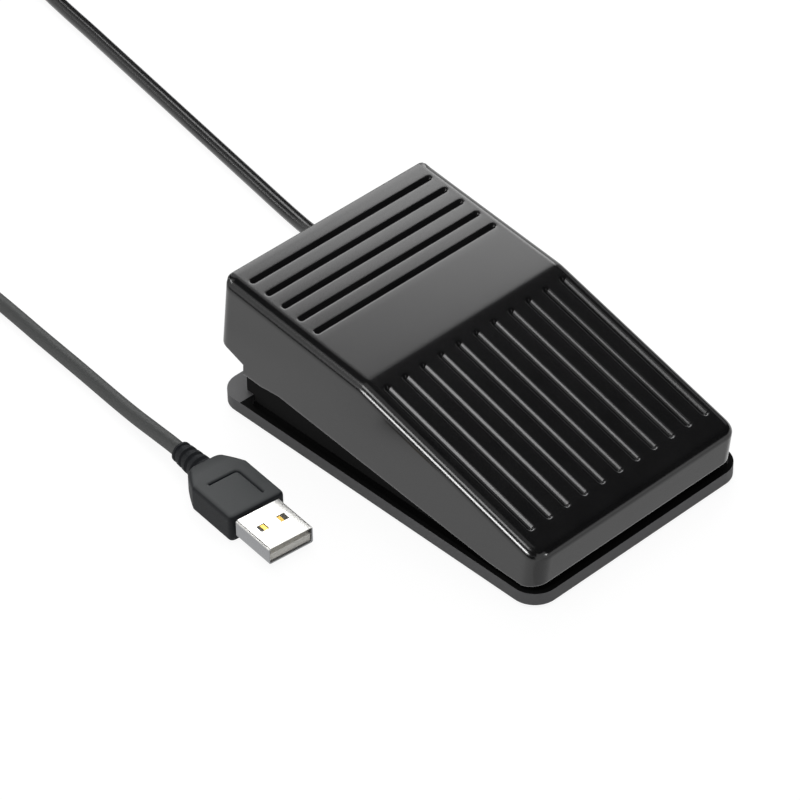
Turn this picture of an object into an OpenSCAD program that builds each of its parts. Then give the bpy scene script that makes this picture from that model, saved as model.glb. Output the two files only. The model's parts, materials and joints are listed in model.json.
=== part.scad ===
// USB foot pedal switch: a hinged, sprung pedal over a flat base, with its switch, board, cord and plug.
// Millimetres, +Z up, front (low end of the pedal) towards -Y, origin on the floor under the base's centre.

/* [Base] */
// Length of the base, front to rear
base_l = 102; // [98:0.5:115]
// Width of the base
base_w = 66.4; // [66:0.2:80]
// Height of the base's outer edge
base_h = 3.2; // [2.8:0.1:5]
// Plan radius of the base's corners
base_corner_r = 6; // [4:0.5:7]
// Width of the rim round the tray
rim_t = 1.2; // [0.8:0.1:1.4]
// Depth of the tray below the rim
tray_d = 1.6; // [1:0.1:1.8]
// Length of the flat deck behind the tray
deck_l = 8; // [7.6:0.2:9]
// Thickness of the base's inner side walls
guard_t = 1.4; // [1:0.1:1.6]
// How far the inner side walls reach up behind the pedal's skirt
guard_lap = 2; // [1:0.1:3]
// Gap between the inner side walls and the pedal's skirt
guard_gap = 0.6; // [0.4:0.1:1]
// How far the feet hold the base off the floor
foot_h = 0.8; // [0.5:0.1:2]
// Diameter of a rubber foot
foot_d = 10; // [6:0.5:12]
// Depth of a foot's pocket in the base
foot_sink = 0.8; // [0.4:0.1:0.9]
// Distance from the base's edges to a foot's centre
foot_inset = 10; // [8:0.5:14]
// Length of the bare panel sunk into the underside
panel_l = 40; // [20:1:60]
// Depth of the bare panel in the underside
panel_d = 0.4; // [0.2:0.1:0.6]

/* [Pedal] */
// Length of the pedal cover
pedal_l = 101; // [98:0.5:104]
// Width of the pedal cover
pedal_w = 63.4; // [61:0.2:63.6]
// Height of the cover at its rear, above its front lower edge
pedal_h = 19.4; // [18.4:0.2:22]
// Height of the cover's front wall
pedal_front_h = 9.7; // [9:0.1:12]
// Length of the flat top behind the break line
pedal_top_l = 44.6; // [42:0.2:46]
// Wall thickness of the cover
pedal_wall = 2.2; // [1.8:0.1:2.6]
// Radius along the cover's side top edges
pedal_edge_r = 3; // [2:0.1:3.2]
// Radius along the cover's front top edge
pedal_front_r = 2; // [1:0.1:3]
// Radius along the cover's rear top edge
pedal_rear_r = 0.6; // [0.4:0.1:2]
// Plan radius of the cover's front corners
pedal_corner_r = 4; // [3:0.2:6]
// Plan radius of the cover's rear corners
rear_corner_r = 2.4; // [1.6:0.2:4]
// Tilt of the cover at rest
rest_tilt = 6.7; // [6.6:0.1:7.5]
// Angle that the pedal turns when pressed
press_angle = 4.5; // [3:0.1:4.6]
// Drop of the skirt's lower edge round the front corners
corner_drop = 1.5; // [1:0.1:1.6]
// Length over which the skirt goes on dropping behind the front wall
skirt_lead = 13.8; // [10:0.2:20]
// Drop of the skirt's lower edge at the end of that length
skirt_drop = 2.5; // [2:0.1:2.6]
// Drop of the skirt's lower edge where its rear tab begins
skirt_fall = 3; // [2.8:0.1:3.2]
// Depth of the skirt's rear tab below the front lower edge
tab_fall = 4.7; // [4.2:0.1:4.9]
// Length of the skirt's rear tab
tab_l = 6.2; // [4:0.2:8]
// Length over which the skirt runs down to its tab
tab_blend = 5.4; // [4:0.2:12]
// Length of the notch behind the tab
notch_l = 8.2; // [7:0.2:10]
// Fall of the notch's upper edge towards the tab
notch_fall = 2; // [0:0.1:2.4]

/* [Grooves] */
// Number of grooves across the flat top
cross_n = 5; // [3:1:6]
// Spacing of the grooves across the flat top
cross_pitch = 5.25; // [4:0.05:6]
// Length of a groove across the flat top
cross_l = 56; // [40:0.2:58]
// Width of a groove across the flat top
cross_w = 1.5; // [1:0.1:2.4]
// Distance from the rear wall to the first groove
cross_edge = 5.2; // [4:0.1:7]
// Number of grooves down the slope
long_n = 11; // [7:2:11]
// Spacing of the grooves down the slope
long_pitch = 5.46; // [4:0.02:5.5]
// Length of a groove down the slope
long_l = 47.4; // [40:0.2:48]
// Width of a groove down the slope
long_w = 1.6; // [1.4:0.1:2.8]
// Distance from the break line to the grooves' upper ends
long_edge = 3.2; // [2.6:0.1:5]
// Depth of the grooves
groove_d = 0.9; // [0.5:0.1:1.1]

/* [Hinge] */
// Distance from the base's front edge to the hinge axis
hinge_setback = 7; // [6.8:0.1:8]
// Height of the hinge axis above the rim
hinge_rise = 4.5; // [4.2:0.1:5]
// Distance from the cover's front wall to the hinge axis
hinge_back = 5.8; // [5.6:0.1:6]
// Height of the hinge axis above the cover's front lower edge
hinge_up = 2.74; // [2.4:0.02:3]
// Diameter of the hinge pin
pin_d = 3; // [2:0.1:3.4]
// Wall round the hinge pin
pin_wall = 1.7; // [1.4:0.1:1.8]
// Width of a base hinge lug
lug_w = 4; // [3:0.2:6]
// Width of a pedal hinge ear
ear_w = 2.5; // [2:0.1:3]
// Radial clearance of the pin in the pedal's ears
pin_run = 0.05; // [0.02:0.01:0.09]
// Radial clearance of parts that are held fast
tight = 0.02; // [0.01:0.01:0.05]
// Side clearance between pieces that move past each other
side_gap = 0.3; // [0.2:0.05:0.5]
// Diameter of a push-on pin washer
washer_d = 6.2; // [5:0.2:6.6]
// Thickness of a push-on pin washer
washer_t = 0.6; // [0.4:0.1:1]

/* [Return spring] */
// Distance from the upright wall forward to the spring
spring_back = 7.5; // [7:0.5:11]
// Outer diameter of the spring
spring_d = 9; // [8:0.2:10]
// Diameter of the spring's wire
wire_d = 0.9; // [0.7:0.1:1.1]
// Length of the spring at rest
spring_l = 23.6; // [20:0.2:25]
// Diameter of the pegs that hold the spring's ends
peg_d = 5; // [4:0.2:5.6]
// Length of those pegs
peg_l = 4; // [3:0.2:5]

/* [Stops] */
// Distance from the upright wall forward to the rubber stops
stop_back = 19; // [17:0.5:23]
// Distance of a rubber stop from the centre line
stop_x = 24; // [23.6:0.1:25]
// Diameter of a rubber stop
stop_d = 6; // [4:0.2:6]
// Height of a rubber stop
stop_h = 4; // [3:0.2:5]
// Gap left at a stop when the pedal is down
stop_gap = 0.45; // [0.4:0.05:0.8]
// Distance of a catch hook from the centre line
hook_x = 8; // [7:0.2:9]
// Width of a catch hook
hook_w = 6; // [4:0.2:6.4]
// Thickness of a catch hook's arm
hook_t = 1.6; // [1.2:0.1:1.8]
// Height of the hook's lip
lip_h = 1.7; // [1.4:0.1:2]
// Height of the upright wall above the deck
upright_h = 14; // [13.4:0.2:15]
// Thickness of the upright wall
upright_t = 2.2; // [1.8:0.1:2.4]
// Height of the window in the upright wall
window_h = 10.4; // [10:0.1:11]
// Height of the window's sill above the deck
sill_h = 0.6; // [0.4:0.1:1]

/* [Switch] */
// Length of the switch body
switch_l = 19.8; // [18:0.2:21]
// Thickness of the switch body
switch_w = 6.4; // [6:0.1:7]
// Height of the switch body
switch_h = 10.2; // [9:0.1:11]
// Thickness of the switch's cover half
switch_cover_w = 2; // [1.6:0.1:2.2]
// Distance of the switch from the centre line
switch_x = 10; // [9:0.2:12]
// Spacing of the switch's fixing holes
switch_pitch = 9.5; // [8:0.1:10]
// Diameter of the switch's fixing screws
switch_screw_d = 2; // [1.6:0.1:2.2]
// Distance from the upright wall forward to the cover's actuating rib
rib_back = 15.5; // [14:0.5:17]
// Thickness of the actuating rib
rib_t = 1.2; // [1:0.1:1.4]
// Distance from the lever's pivot to the actuating rib
lever_reach = 20; // [19:0.2:21]
// Angle of the lever at rest
lever_tilt = 17; // [16.5:0.1:18]
// Thickness of the lever
lever_t = 0.3; // [0.2:0.05:0.4]
// Width of the lever
lever_w = 3; // [2.4:0.1:3.2]
// Gap between the rib and the lever at rest
rib_gap = 0.5; // [0.4:0.05:0.7]
// Height of the lever's pivot above the switch body
pivot_rise = 0.9; // [0.9:0.05:1.2]
// Diameter of the lever's pivot pin
pivot_d = 0.8; // [0.6:0.05:0.9]
// Distance from the lever's pivot to the plunger
plunger_reach = 6; // [5:0.1:6.4]
// Width of the plunger
plunger_w = 1.6; // [1.2:0.1:1.8]
// Length of the plunger
plunger_l = 6; // [5:0.1:7]
// Travel of the plunger
plunger_travel = 1.5; // [1:0.05:1.5]
// Height of the lever's pivot above the tray's floor
pivot_h = 19.2; // [18.6:0.1:19.6]
// Length of a switch terminal below the body
terminal_l = 4; // [3:0.1:5]
// Thickness of the bracket that carries the switch
bracket_t = 2.4; // [2:0.1:3]

/* [Board] */
// Length of the controller board
board_l = 34; // [32:0.5:36]
// Width of the controller board
board_w = 20; // [18:0.5:20]
// Thickness of the controller board
board_t = 1.6; // [1:0.1:2]
// Distance of the board's centre from the centre line
board_x = 10.4; // [10.4:0.1:11]
// Height of the posts that carry the board
post_h = 2.6; // [2:0.1:3]
// Diameter of the board's screws
board_screw_d = 2; // [1.6:0.1:2.2]
// Distance from the board's edges to its screws
board_inset = 2.6; // [2.6:0.1:3]
// Diameter of the coloured wires
wire_jacket_d = 1.1; // [0.8:0.1:1.3]

/* [Cord] */
// Diameter of the cord
cord_d = 3.7; // [3.2:0.1:3.7]
// Distance of the cord's exit from the centre line
cord_x = 18; // [16.4:0.1:18.4]
// Height of the cord's axis above the deck where it leaves
cord_rise = 3.7; // [3.6:0.1:4]
// Length of the gland's tail behind the upright wall
gland_l = 10.8; // [9:0.1:12]
// Width of the cord clamp
clamp_w = 15; // [14.5:0.1:15.4]
// Depth of the cord clamp along the cord
clamp_l = 5; // [4.6:0.1:6]
// Thickness of the clamp's cap above the cord's axis
clamp_h = 3.4; // [2.8:0.1:4]
// Diameter of the clamp's screws
clamp_screw_d = 2.5; // [2:0.1:2.6]

/* [Plug] */
// Width of the plug's metal shell
shell_w = 12; // [11.8:0.1:12.2]
// Height of the plug's metal shell
shell_h = 4.5; // [4.4:0.1:4.6]
// Wall of the metal shell
shell_t = 0.3; // [0.2:0.05:0.4]
// Length of the shell in front of the grip
shell_l = 12; // [11:0.1:13]
// Depth of the shell inside the grip
shell_sink = 6; // [4:0.2:8]
// Width of the plug's grip
grip_w = 15; // [14.6:0.2:18]
// Thickness of the plug's grip
grip_h = 7.2; // [6.8:0.2:9]
// Length of the plug's grip
grip_l = 20; // [18:0.2:24]
// Length of the strain relief behind the grip
relief_l = 9; // [8:0.2:14]

/* [Coil] */
// Number of layers of the stored coil
coil_layers = 4; // [2:2:4]
// Whole turns of the stored coil
coil_whole = 10; // [6:1:14]
// Spacing of neighbouring turns
coil_pitch = 4.15; // [4.12:0.01:4.3]
// Radius of the coil's outer turn
coil_r = 24; // [22:0.5:26]
// Thickness of the strap round the coil
tie_t = 0.8; // [0.5:0.1:1.2]
// Width of the strap round the coil
tie_w = 7; // [4:0.5:10]

/* [Hidden] */
$fn = 48;
eps = 0.01;
far = 60;
// How far a cutter reaches past what it cuts, and the slack of a screw in the piece that it holds down
over = 1;
screw_slack = 0.3;
screw_short = 0.4;

// Heights and places shared by the pieces
rim_z = foot_h + base_h;
floor_z = rim_z - tray_d;
front_y = -base_l / 2;
rear_y = base_l / 2;
deck_y = rear_y - deck_l;
hinge_y = front_y + hinge_setback;
hinge_z = rim_z + hinge_rise;
lug_r = pin_d / 2 + pin_wall;
foot_x = base_w / 2 - foot_inset;
foot_y = base_l / 2 - foot_inset;

// The pedal cover in its own level frame, measured from the hinge axis
cover_front = -hinge_back;
cover_rear = pedal_l - hinge_back;
cover_top = pedal_h - hinge_up;
cover_low = -hinge_up;
cover_break = cover_rear - pedal_top_l;
slope_angle = atan((cover_top - cover_low - pedal_front_h) / (cover_break - cover_front));
tab_y = cover_rear - notch_l;
tab_rise = 0.5;
level_lift = 0.03;
slope_lift = 0.05;

// Where a point of the cover's side view lies at rest, and the height of its straight lower edge there
function rest_point(p) = [hinge_y + p[0] * cos(rest_tilt) - p[1] * sin(rest_tilt),
  hinge_z + p[0] * sin(rest_tilt) + p[1] * cos(rest_tilt)];
edge_front = rest_point([cover_front + skirt_lead, cover_low - skirt_drop]);
edge_rear = rest_point([tab_y - tab_l - tab_blend, cover_low - skirt_fall]);
function edge_z(y) = edge_front[1]
  + (y - edge_front[0]) * (edge_rear[1] - edge_front[1]) / (edge_rear[0] - edge_front[0]);
guard_out = pedal_w / 2 - pedal_wall - guard_gap;
guard_setback = 3;
guard_front = hinge_y + lug_r + guard_setback;

// Hinge stations along X, from the cover's inner side face inwards
pin_over = 0.5;
wall_gap = 0.2;
washer_room = side_gap + washer_t + pin_over + wall_gap;
ear_out = pedal_w / 2 - pedal_wall - washer_room;
ear_in = ear_out - ear_w;
ear_x = ear_in + ear_w / 2;
lug_out = ear_in - side_gap;
lug_x = lug_out - lug_w / 2;
pin_end = ear_out + washer_room - wall_gap;

// Spring, stops and catch: placed from the upright wall, and the spring also clear of the cover's rear wall
well_l = deck_y - hinge_y;
rear_room = 1;
spring_arm = min(well_l - spring_back, cover_rear - pedal_wall - rear_room - spring_d / 2);
spring_y = hinge_y + spring_arm;
spring_top = floor_z + spring_l;
spring_end_gap = 0.1;
spring_turns = 8;
end_pitch = 1.4;
spring_steps = 10;
stop_arm = well_l - stop_back;
stop_y = hinge_y + stop_arm;
stop_top = floor_z + stop_h;
stop_foot = hinge_z + (stop_top + stop_gap - hinge_z + stop_arm * sin(press_angle)) / cos(press_angle);
upright_rear = deck_y + upright_t;
window_top = rim_z + sill_h + window_h;
hook_slack = 0.1;
hook_front = upright_rear + side_gap + hook_slack;
window_slack = 0.5;
peg_seat = 1.5;
lip_reach = 1.7;

// Switch: lever pivot, body and plunger
rib_y = deck_y - rib_back;
pivot_y = rib_y - lever_reach;
pivot_z = floor_z + pivot_h;
switch_top = pivot_z - pivot_rise;
switch_bottom = switch_top - switch_h;
pivot_setback = 1.5;
switch_y = pivot_y - pivot_setback;
case_w = switch_w - switch_cover_w;
switch_left = -switch_x - switch_w / 2;
case_x = switch_left + case_w / 2;
lever_over = 2;
lever_l = lever_reach + lever_over;
ear_t = 0.7;
knuckle_r = 0.8;
knuckle_gap = 0.2;
ear_clear = 0.4;
rib_z = pivot_z + lever_reach * tan(lever_tilt) + lever_t / 2 / cos(lever_tilt) + rib_gap;
plunger_y = pivot_y + plunger_reach;
plunger_gap = 0.1;
plunger_top = pivot_z + (plunger_reach - plunger_w / 2) * tan(lever_tilt)
  - lever_t / 2 / cos(lever_tilt) - plunger_gap;
plunger_depth = 2.2;
slot_gap = 0.15;
plunger_room = 0.3;
switch_hole_y = switch_y + (switch_l - switch_pitch) / 2;
hole_rise = 2.8;
switch_hole_z = switch_bottom + hole_rise;
terminal_at = [2.2, 9.9, 16.6];
terminal_y = [for (y = terminal_at) switch_y + y];
terminal_w = 2.4;
terminal_t = 0.5;

// Board, its posts and what it carries
board_back = 34;
board_y = deck_y - board_back;
board_z = floor_z + post_h;
board_top = board_z + board_t;
post_d = 5;
board_rear = board_y + board_l / 2;
socket_l = 5.6;
post_y = [board_y - board_l / 2 + board_inset, board_rear - socket_l - board_inset];
board_posts = [for (sx = [-1, 1], y = post_y) [board_x + sx * (board_w / 2 - board_inset), y]];
socket_w = 8;
socket_h = 5.5;

// Cord exit, clamp and plug
cord_z = rim_z + cord_rise;
gland_end = upright_rear + gland_l;
flange_t = 1.2;
neck_r = cord_d / 2 + 1;
clamp_room = 4.4;
clamp_y = deck_y - clamp_room - clamp_l;
clamp_screw_x = 5;
cap_gap = 0.3;
cap_top = cord_z + cap_gap + clamp_h;
inner_over = 3;
inner_end = clamp_y - inner_over;
cord_sides = 8;
plug_tip = [-57.7, -0.5];
plug_yaw = 5.6;
plug_z = grip_h / 2;
plug_l = shell_l + grip_l + relief_l;
plug_rear = concat(plug_tip + plug_l * [sin(plug_yaw), cos(plug_yaw)], plug_z);

// The coil's outer turn lies against the lines on which the cord comes in and goes out
lead_y = 219;
tail_x = -45.5;
coil_c = [tail_x + coil_r, lead_y - coil_r];
tie_gap = 0.2;
coil_z = tie_t + tie_gap + cord_d / 2;
coil_steps = 24;
coil_sides = 6;
quarter = 0.25;
coil_all = coil_whole + quarter;
coil_turns = coil_all / coil_layers;

// The cord's free stretches, from the gland to the coil and from the coil to the plug
lie_z = cord_d / 2 + 0.1;
lead_route = [
  [cord_x, gland_end, cord_z], [cord_x, gland_end + 2, cord_z],
  [cord_x + 0.8, gland_end + 6, 7.3], [cord_x + 2.5, gland_end + 12, 5.8],
  [cord_x + 4.1, gland_end + 18, 3.9], [cord_x + 5.3, gland_end + 24, lie_z + 0.5],
  [24.4, 86, lie_z], [25.7, 94, lie_z], [27.1, 102, lie_z], [28.5, 110, lie_z], [29.9, 118, lie_z],
  [31.3, 126, lie_z], [32.7, 134, lie_z], [34.1, 142, lie_z], [35.5, 150, lie_z], [36.9, 158, lie_z],
  [38.3, 166, lie_z], [39.7, 174, lie_z], [41.1, 182, lie_z], [42.4, 190, lie_z], [43.8, 198, lie_z],
  [44.6, 202.6, lie_z], [44.6, 207.4, lie_z], [43, 212, lie_z], [39.9, 215.7, lie_z], [35.6, 218.2, lie_z],
  [30.9, lead_y, lie_z], [24, lead_y, lie_z + 0.1], [16, lead_y, lie_z + 0.3], [8, lead_y, lie_z + 0.6],
  [-1, lead_y, coil_z], [-10, lead_y, coil_z], [coil_c[0] + cord_d, lead_y, coil_z]];
tail_top = coil_z + (coil_layers - 1) * coil_pitch;
tail_drop = tail_top - lie_z;
tail_route = [
  [tail_x, coil_c[1] - cord_d, tail_top], [tail_x, coil_c[1] - 7.5, tail_top],
  [tail_x, coil_c[1] - 14.5, lie_z + 0.86 * tail_drop], [tail_x, coil_c[1] - 21.5, lie_z + 0.71 * tail_drop],
  [tail_x, 166, lie_z + 0.54 * tail_drop], [-45.4, 157.5, lie_z + 0.35 * tail_drop],
  [-45.3, 149, lie_z + 0.18 * tail_drop], [-45.3, 140.5, lie_z + 0.06 * tail_drop],
  [-45.5, 132, lie_z + 0.01 * tail_drop], [-45.9, 123, lie_z],
  [-46.6, 113, lie_z], [-47.4, 104, lie_z], [-48.2, 96, lie_z], [-48.9, 88, lie_z], [-49.6, 80, lie_z],
  [-50.4, 72, lie_z + 0.05], [-51.2, 65, lie_z + 0.25], [-52.2, 57, lie_z + 0.8], [-52.9, 50, plug_z - 0.3],
  plug_rear + 3 * [sin(plug_yaw), cos(plug_yaw), 0], plug_rear];

// Directions and rings for a tube that is swept along a list of points
function unit(v) = v / norm(v);
function heading(path, i) = unit(path[min(i + 1, len(path) - 1)] - path[max(i - 1, 0)]);
function ring(centre, ahead, r, sides) =
  let (side = unit(cross(ahead, [0, 0, 1])), above = cross(side, ahead))
  [for (k = [0 : sides - 1]) centre + r * (cos(360 * k / sides) * side + sin(360 * k / sides) * above)];

module tube(path, d, sides) {
  last = len(path) - 1;
  points = [for (i = [0 : last]) each ring(path[i], heading(path, i), d / 2, sides)];
  walls = [for (i = [0 : last - 1], k = [0 : sides - 1])
    let (a = i * sides + k, b = i * sides + (k + 1) % sides)
    each [[a, b, b + sides], [a, b + sides, a + sides]]];
  caps = [for (k = [1 : sides - 2])
    each [[0, k + 1, k], [last * sides, last * sides + k, last * sides + k + 1]]];
  polyhedron(points = points, faces = concat(walls, caps));
}

// Least distance between points of a winding that are more than half a turn apart
function least_gap(path, per_turn, d) =
  min([for (i = [0 : len(path) - 1], j = [i + round(per_turn / 2) : len(path) - 1])
    if (j < len(path)) norm(path[i] - path[j])]) - d;

// Rectangle with round corners, standing on z = 0 and centred in plan
module rounded_plate(w, l, h, r) {
  linear_extrude(h) {
    square([w - 2 * r, l], center = true);
    square([w, l - 2 * r], center = true);
    for (sx = [-1, 1], sy = [-1, 1])
      translate([sx * (w / 2 - r), sy * (l / 2 - r)]) circle(r);
  }
}

// Outline with a round of the given radius at each outward corner
module soft_outline(points, radii) {
  n = len(points);
  before = [for (i = [0 : n - 1]) unit(points[(i + n - 1) % n] - points[i])];
  after = [for (i = [0 : n - 1]) unit(points[(i + 1) % n] - points[i])];
  half = [for (i = [0 : n - 1]) acos(before[i] * after[i]) / 2];
  polygon([for (i = [0 : n - 1]) each radii[i] == 0 ? [points[i]]
    : [points[i] + before[i] * radii[i] / tan(half[i]), points[i] + after[i] * radii[i] / tan(half[i])]]);
  for (i = [0 : n - 1])
    if (radii[i] > 0)
      translate(points[i] + unit(before[i] + after[i]) * radii[i] / sin(half[i])) circle(radii[i]);
}

// Bar with round ends along X, from z = 0 up
module slot_bar(l, w, h) {
  translate([-(l - w) / 2, -w / 2, 0]) cube([l - w, w, h]);
  for (s = [-1, 1]) translate([s * (l - w) / 2, 0, 0]) cylinder(d = w, h = h);
}

// Cylinder along X from x0 to x1
module rod_x(x0, x1, y, z, d) {
  translate([x0, y, z]) rotate([0, 90, 0]) cylinder(d = d, h = x1 - x0);
}

// Cylinder along Y from y0 to y1
module rod_y(x, y0, y1, z, d) {
  translate([x, y1, z]) rotate([90, 0, 0]) cylinder(d = d, h = y1 - y0);
}

// Pan-head screw along Z, its head's underside at z = 0 and its shank going down
module pan_screw(d, l) {
  head_d = 1.9 * d;
  head_h = 0.6 * d;
  slot_w = 0.25 * d;
  slot_l = 1.2 * d;
  translate([0, 0, -l]) cylinder(d = d, h = l + eps);
  difference() {
    cylinder(d = head_d, h = head_h);
    for (a = [0, 90])
      rotate([0, 0, a]) translate([-slot_l / 2, -slot_w / 2, head_h / 2]) cube([slot_l, slot_w, head_h]);
  }
}

// Carries a shape from the cover's level frame to its place at rest
module at_rest() {
  translate([0, hinge_y, hinge_z]) rotate([rest_tilt, 0, 0]) children();
}

// Section across the cover with round upper corners. It stands over the cover's faces by a small lift, so
// that the rounds cross those faces and don't just touch them.
module crown_section(lift) {
  half_w = pedal_w / 2 + lift;
  top = cover_top + lift;
  round_r = pedal_edge_r + lift;
  translate([0, far * 2, 0]) rotate([90, 0, 0]) linear_extrude(far * 4)
    soft_outline([[-half_w, -far], [half_w, -far], [half_w, top], [-half_w, top]], [0, 0, round_r, round_r]);
}

// Plan of the cover, moved in by an inset, as a tall block
module cover_plan(inset, front_r, rear_r) {
  half_w = pedal_w / 2 - inset;
  front = cover_front - level_lift + inset;
  rear = cover_rear + level_lift - inset;
  translate([0, 0, -far]) linear_extrude(far * 2)
    soft_outline([[-half_w, front], [half_w, front], [half_w, rear], [-half_w, rear]],
      [front_r, front_r, rear_r, rear_r]);
}

// Side view of the cover: lower edge with its tab and notch, then the rear, top, slope and front
module side_outline() {
  skirt = [
    [cover_front, cover_low], [cover_front + pedal_corner_r, cover_low - corner_drop],
    [cover_front + skirt_lead, cover_low - skirt_drop],
    [tab_y - tab_l - tab_blend, cover_low - skirt_fall],
    [tab_y - tab_l, cover_low - tab_fall + tab_rise], [tab_y, cover_low - tab_fall],
    [tab_y, cover_low - notch_fall], [cover_rear, cover_low]];
  crown = [[cover_rear, cover_top], [cover_break, cover_top], [cover_front, cover_low + pedal_front_h]];
  soft_outline(concat(skirt, crown), concat([for (p = skirt) 0], [pedal_rear_r, 0, pedal_front_r]));
}

// Outside of the cover in its level frame
module cover_shape() {
  intersection() {
    crown_section(level_lift);
    translate([0, cover_break, cover_top]) rotate([slope_angle, 0, 0]) translate([0, 0, -cover_top])
      crown_section(slope_lift);
    rotate([90, 0, 90]) translate([0, 0, -far]) linear_extrude(far * 2) side_outline();
    cover_plan(0, pedal_corner_r + level_lift, rear_corner_r + level_lift);
  }
}

// Everything under the cover's top that lies an inset in from its faces
module cover_core(inset) {
  ridge = [cover_break - inset * tan(slope_angle / 2), cover_top - inset];
  foot = ridge - 2 * far * [cos(slope_angle), sin(slope_angle)];
  intersection() {
    rotate([90, 0, 90]) translate([0, 0, -far]) linear_extrude(far * 2)
      polygon([[foot[0], -far], [2 * far, -far], [2 * far, ridge[1]], ridge, foot]);
    cover_plan(inset, max(pedal_corner_r - inset, pedal_wall / 4),
      max(rear_corner_r - inset, pedal_wall / 4));
  }
}

// Grooves of the tread: across the flat top and down the slope
module tread_grooves() {
  for (i = [0 : cross_n - 1])
    translate([0, cover_rear - cross_edge - i * cross_pitch, cover_top - groove_d])
      slot_bar(cross_l, cross_w, far);
  translate([0, cover_break, cover_top]) rotate([slope_angle, 0, 0])
    for (i = [0 : long_n - 1])
      translate([(i - (long_n - 1) / 2) * long_pitch, -long_edge - long_l / 2, -groove_d])
        rotate([0, 0, 90]) slot_bar(long_l, long_w, far);
}

// Ribs and posts that hang from the cover's ceiling, at their places at rest
module cover_inside() {
  for (s = [-1, 1]) {
    translate([s * ear_x - ear_w / 2, hinge_y, hinge_z]) {
      rotate([0, 90, 0]) cylinder(r = lug_r, h = ear_w);
      translate([0, -lug_r, 0]) cube([ear_w, 2 * lug_r, far]);
    }
    translate([s * stop_x, stop_y, stop_foot]) cylinder(d = stop_d - 2 * window_slack, h = far);
    translate([s * hook_x - hook_w / 2, hook_front, window_top - side_gap - lip_h]) {
      cube([hook_w, hook_t, far]);
      translate([0, -lip_reach, 0]) cube([hook_w, lip_reach + eps, lip_h]);
    }
  }
  translate([0, spring_y, spring_top]) cylinder(d = spring_d + 2 * peg_seat, h = far);
  translate([0, spring_y, spring_top - peg_l]) cylinder(d = peg_d, h = far);
  translate([-switch_x - lever_w / 2 - over, rib_y - rib_t / 2, rib_z])
    cube([lever_w + 2 * over, rib_t, far]);
}

module pedal_cover() {
  arch_gap = 2.9;
  arch_w = cord_d + 2 * arch_gap;
  arch_h = 3;
  color("#2b2c2e") difference() {
    union() {
      at_rest() difference() {
        cover_shape();
        cover_core(pedal_wall);
      }
      intersection() {
        at_rest() cover_core(pedal_wall / 2);
        cover_inside();
      }
    }
    at_rest() tread_grooves();
    for (s = [-1, 1])
      rod_x(s * ear_x - ear_w, s * ear_x + ear_w, hinge_y, hinge_z, pin_d + 2 * pin_run);
    at_rest() translate([cord_x - arch_w / 2, cover_rear - pedal_wall * 2, cover_low - notch_fall - eps])
      cube([arch_w, far, arch_h + notch_fall]);
  }
}

// Inner side walls that close the gap under the skirt
module guard_walls() {
  for (s = [-1, 1])
    translate([s * (guard_out - guard_t / 2) - guard_t / 2, 0, 0]) rotate([90, 0, 90]) linear_extrude(guard_t)
      polygon([[guard_front, floor_z - eps], [upright_rear, floor_z - eps],
               [upright_rear, edge_z(upright_rear) + guard_lap],
               [guard_front, edge_z(guard_front) + guard_lap]]);
}

// Upright wall at the rear, with the hooks' windows and the cord's hole
module upright_wall() {
  difference() {
    translate([-guard_out, deck_y, floor_z - eps])
      cube([2 * guard_out, upright_t, rim_z + upright_h - floor_z]);
    for (s = [-1, 1])
      translate([s * hook_x - hook_w / 2 - window_slack, deck_y - eps, rim_z + sill_h])
        cube([hook_w + 2 * window_slack, upright_t + 2 * eps, window_h]);
    rod_y(cord_x, deck_y - over, upright_rear + over, cord_z, 2 * neck_r);
  }
}

// Bracket that the switch is screwed to, beside the switch
module switch_bracket() {
  margin = 1.5;
  gusset_l = 4;
  gusset_t = 2;
  translate([switch_left - bracket_t, switch_y - margin, floor_z - eps])
    cube([bracket_t, switch_l + 2 * margin, switch_top - floor_z]);
  translate([switch_left - bracket_t - gusset_l, switch_y + switch_l / 2 - gusset_t / 2, floor_z - eps])
    cube([gusset_l + eps, gusset_t, switch_h]);
}

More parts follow.
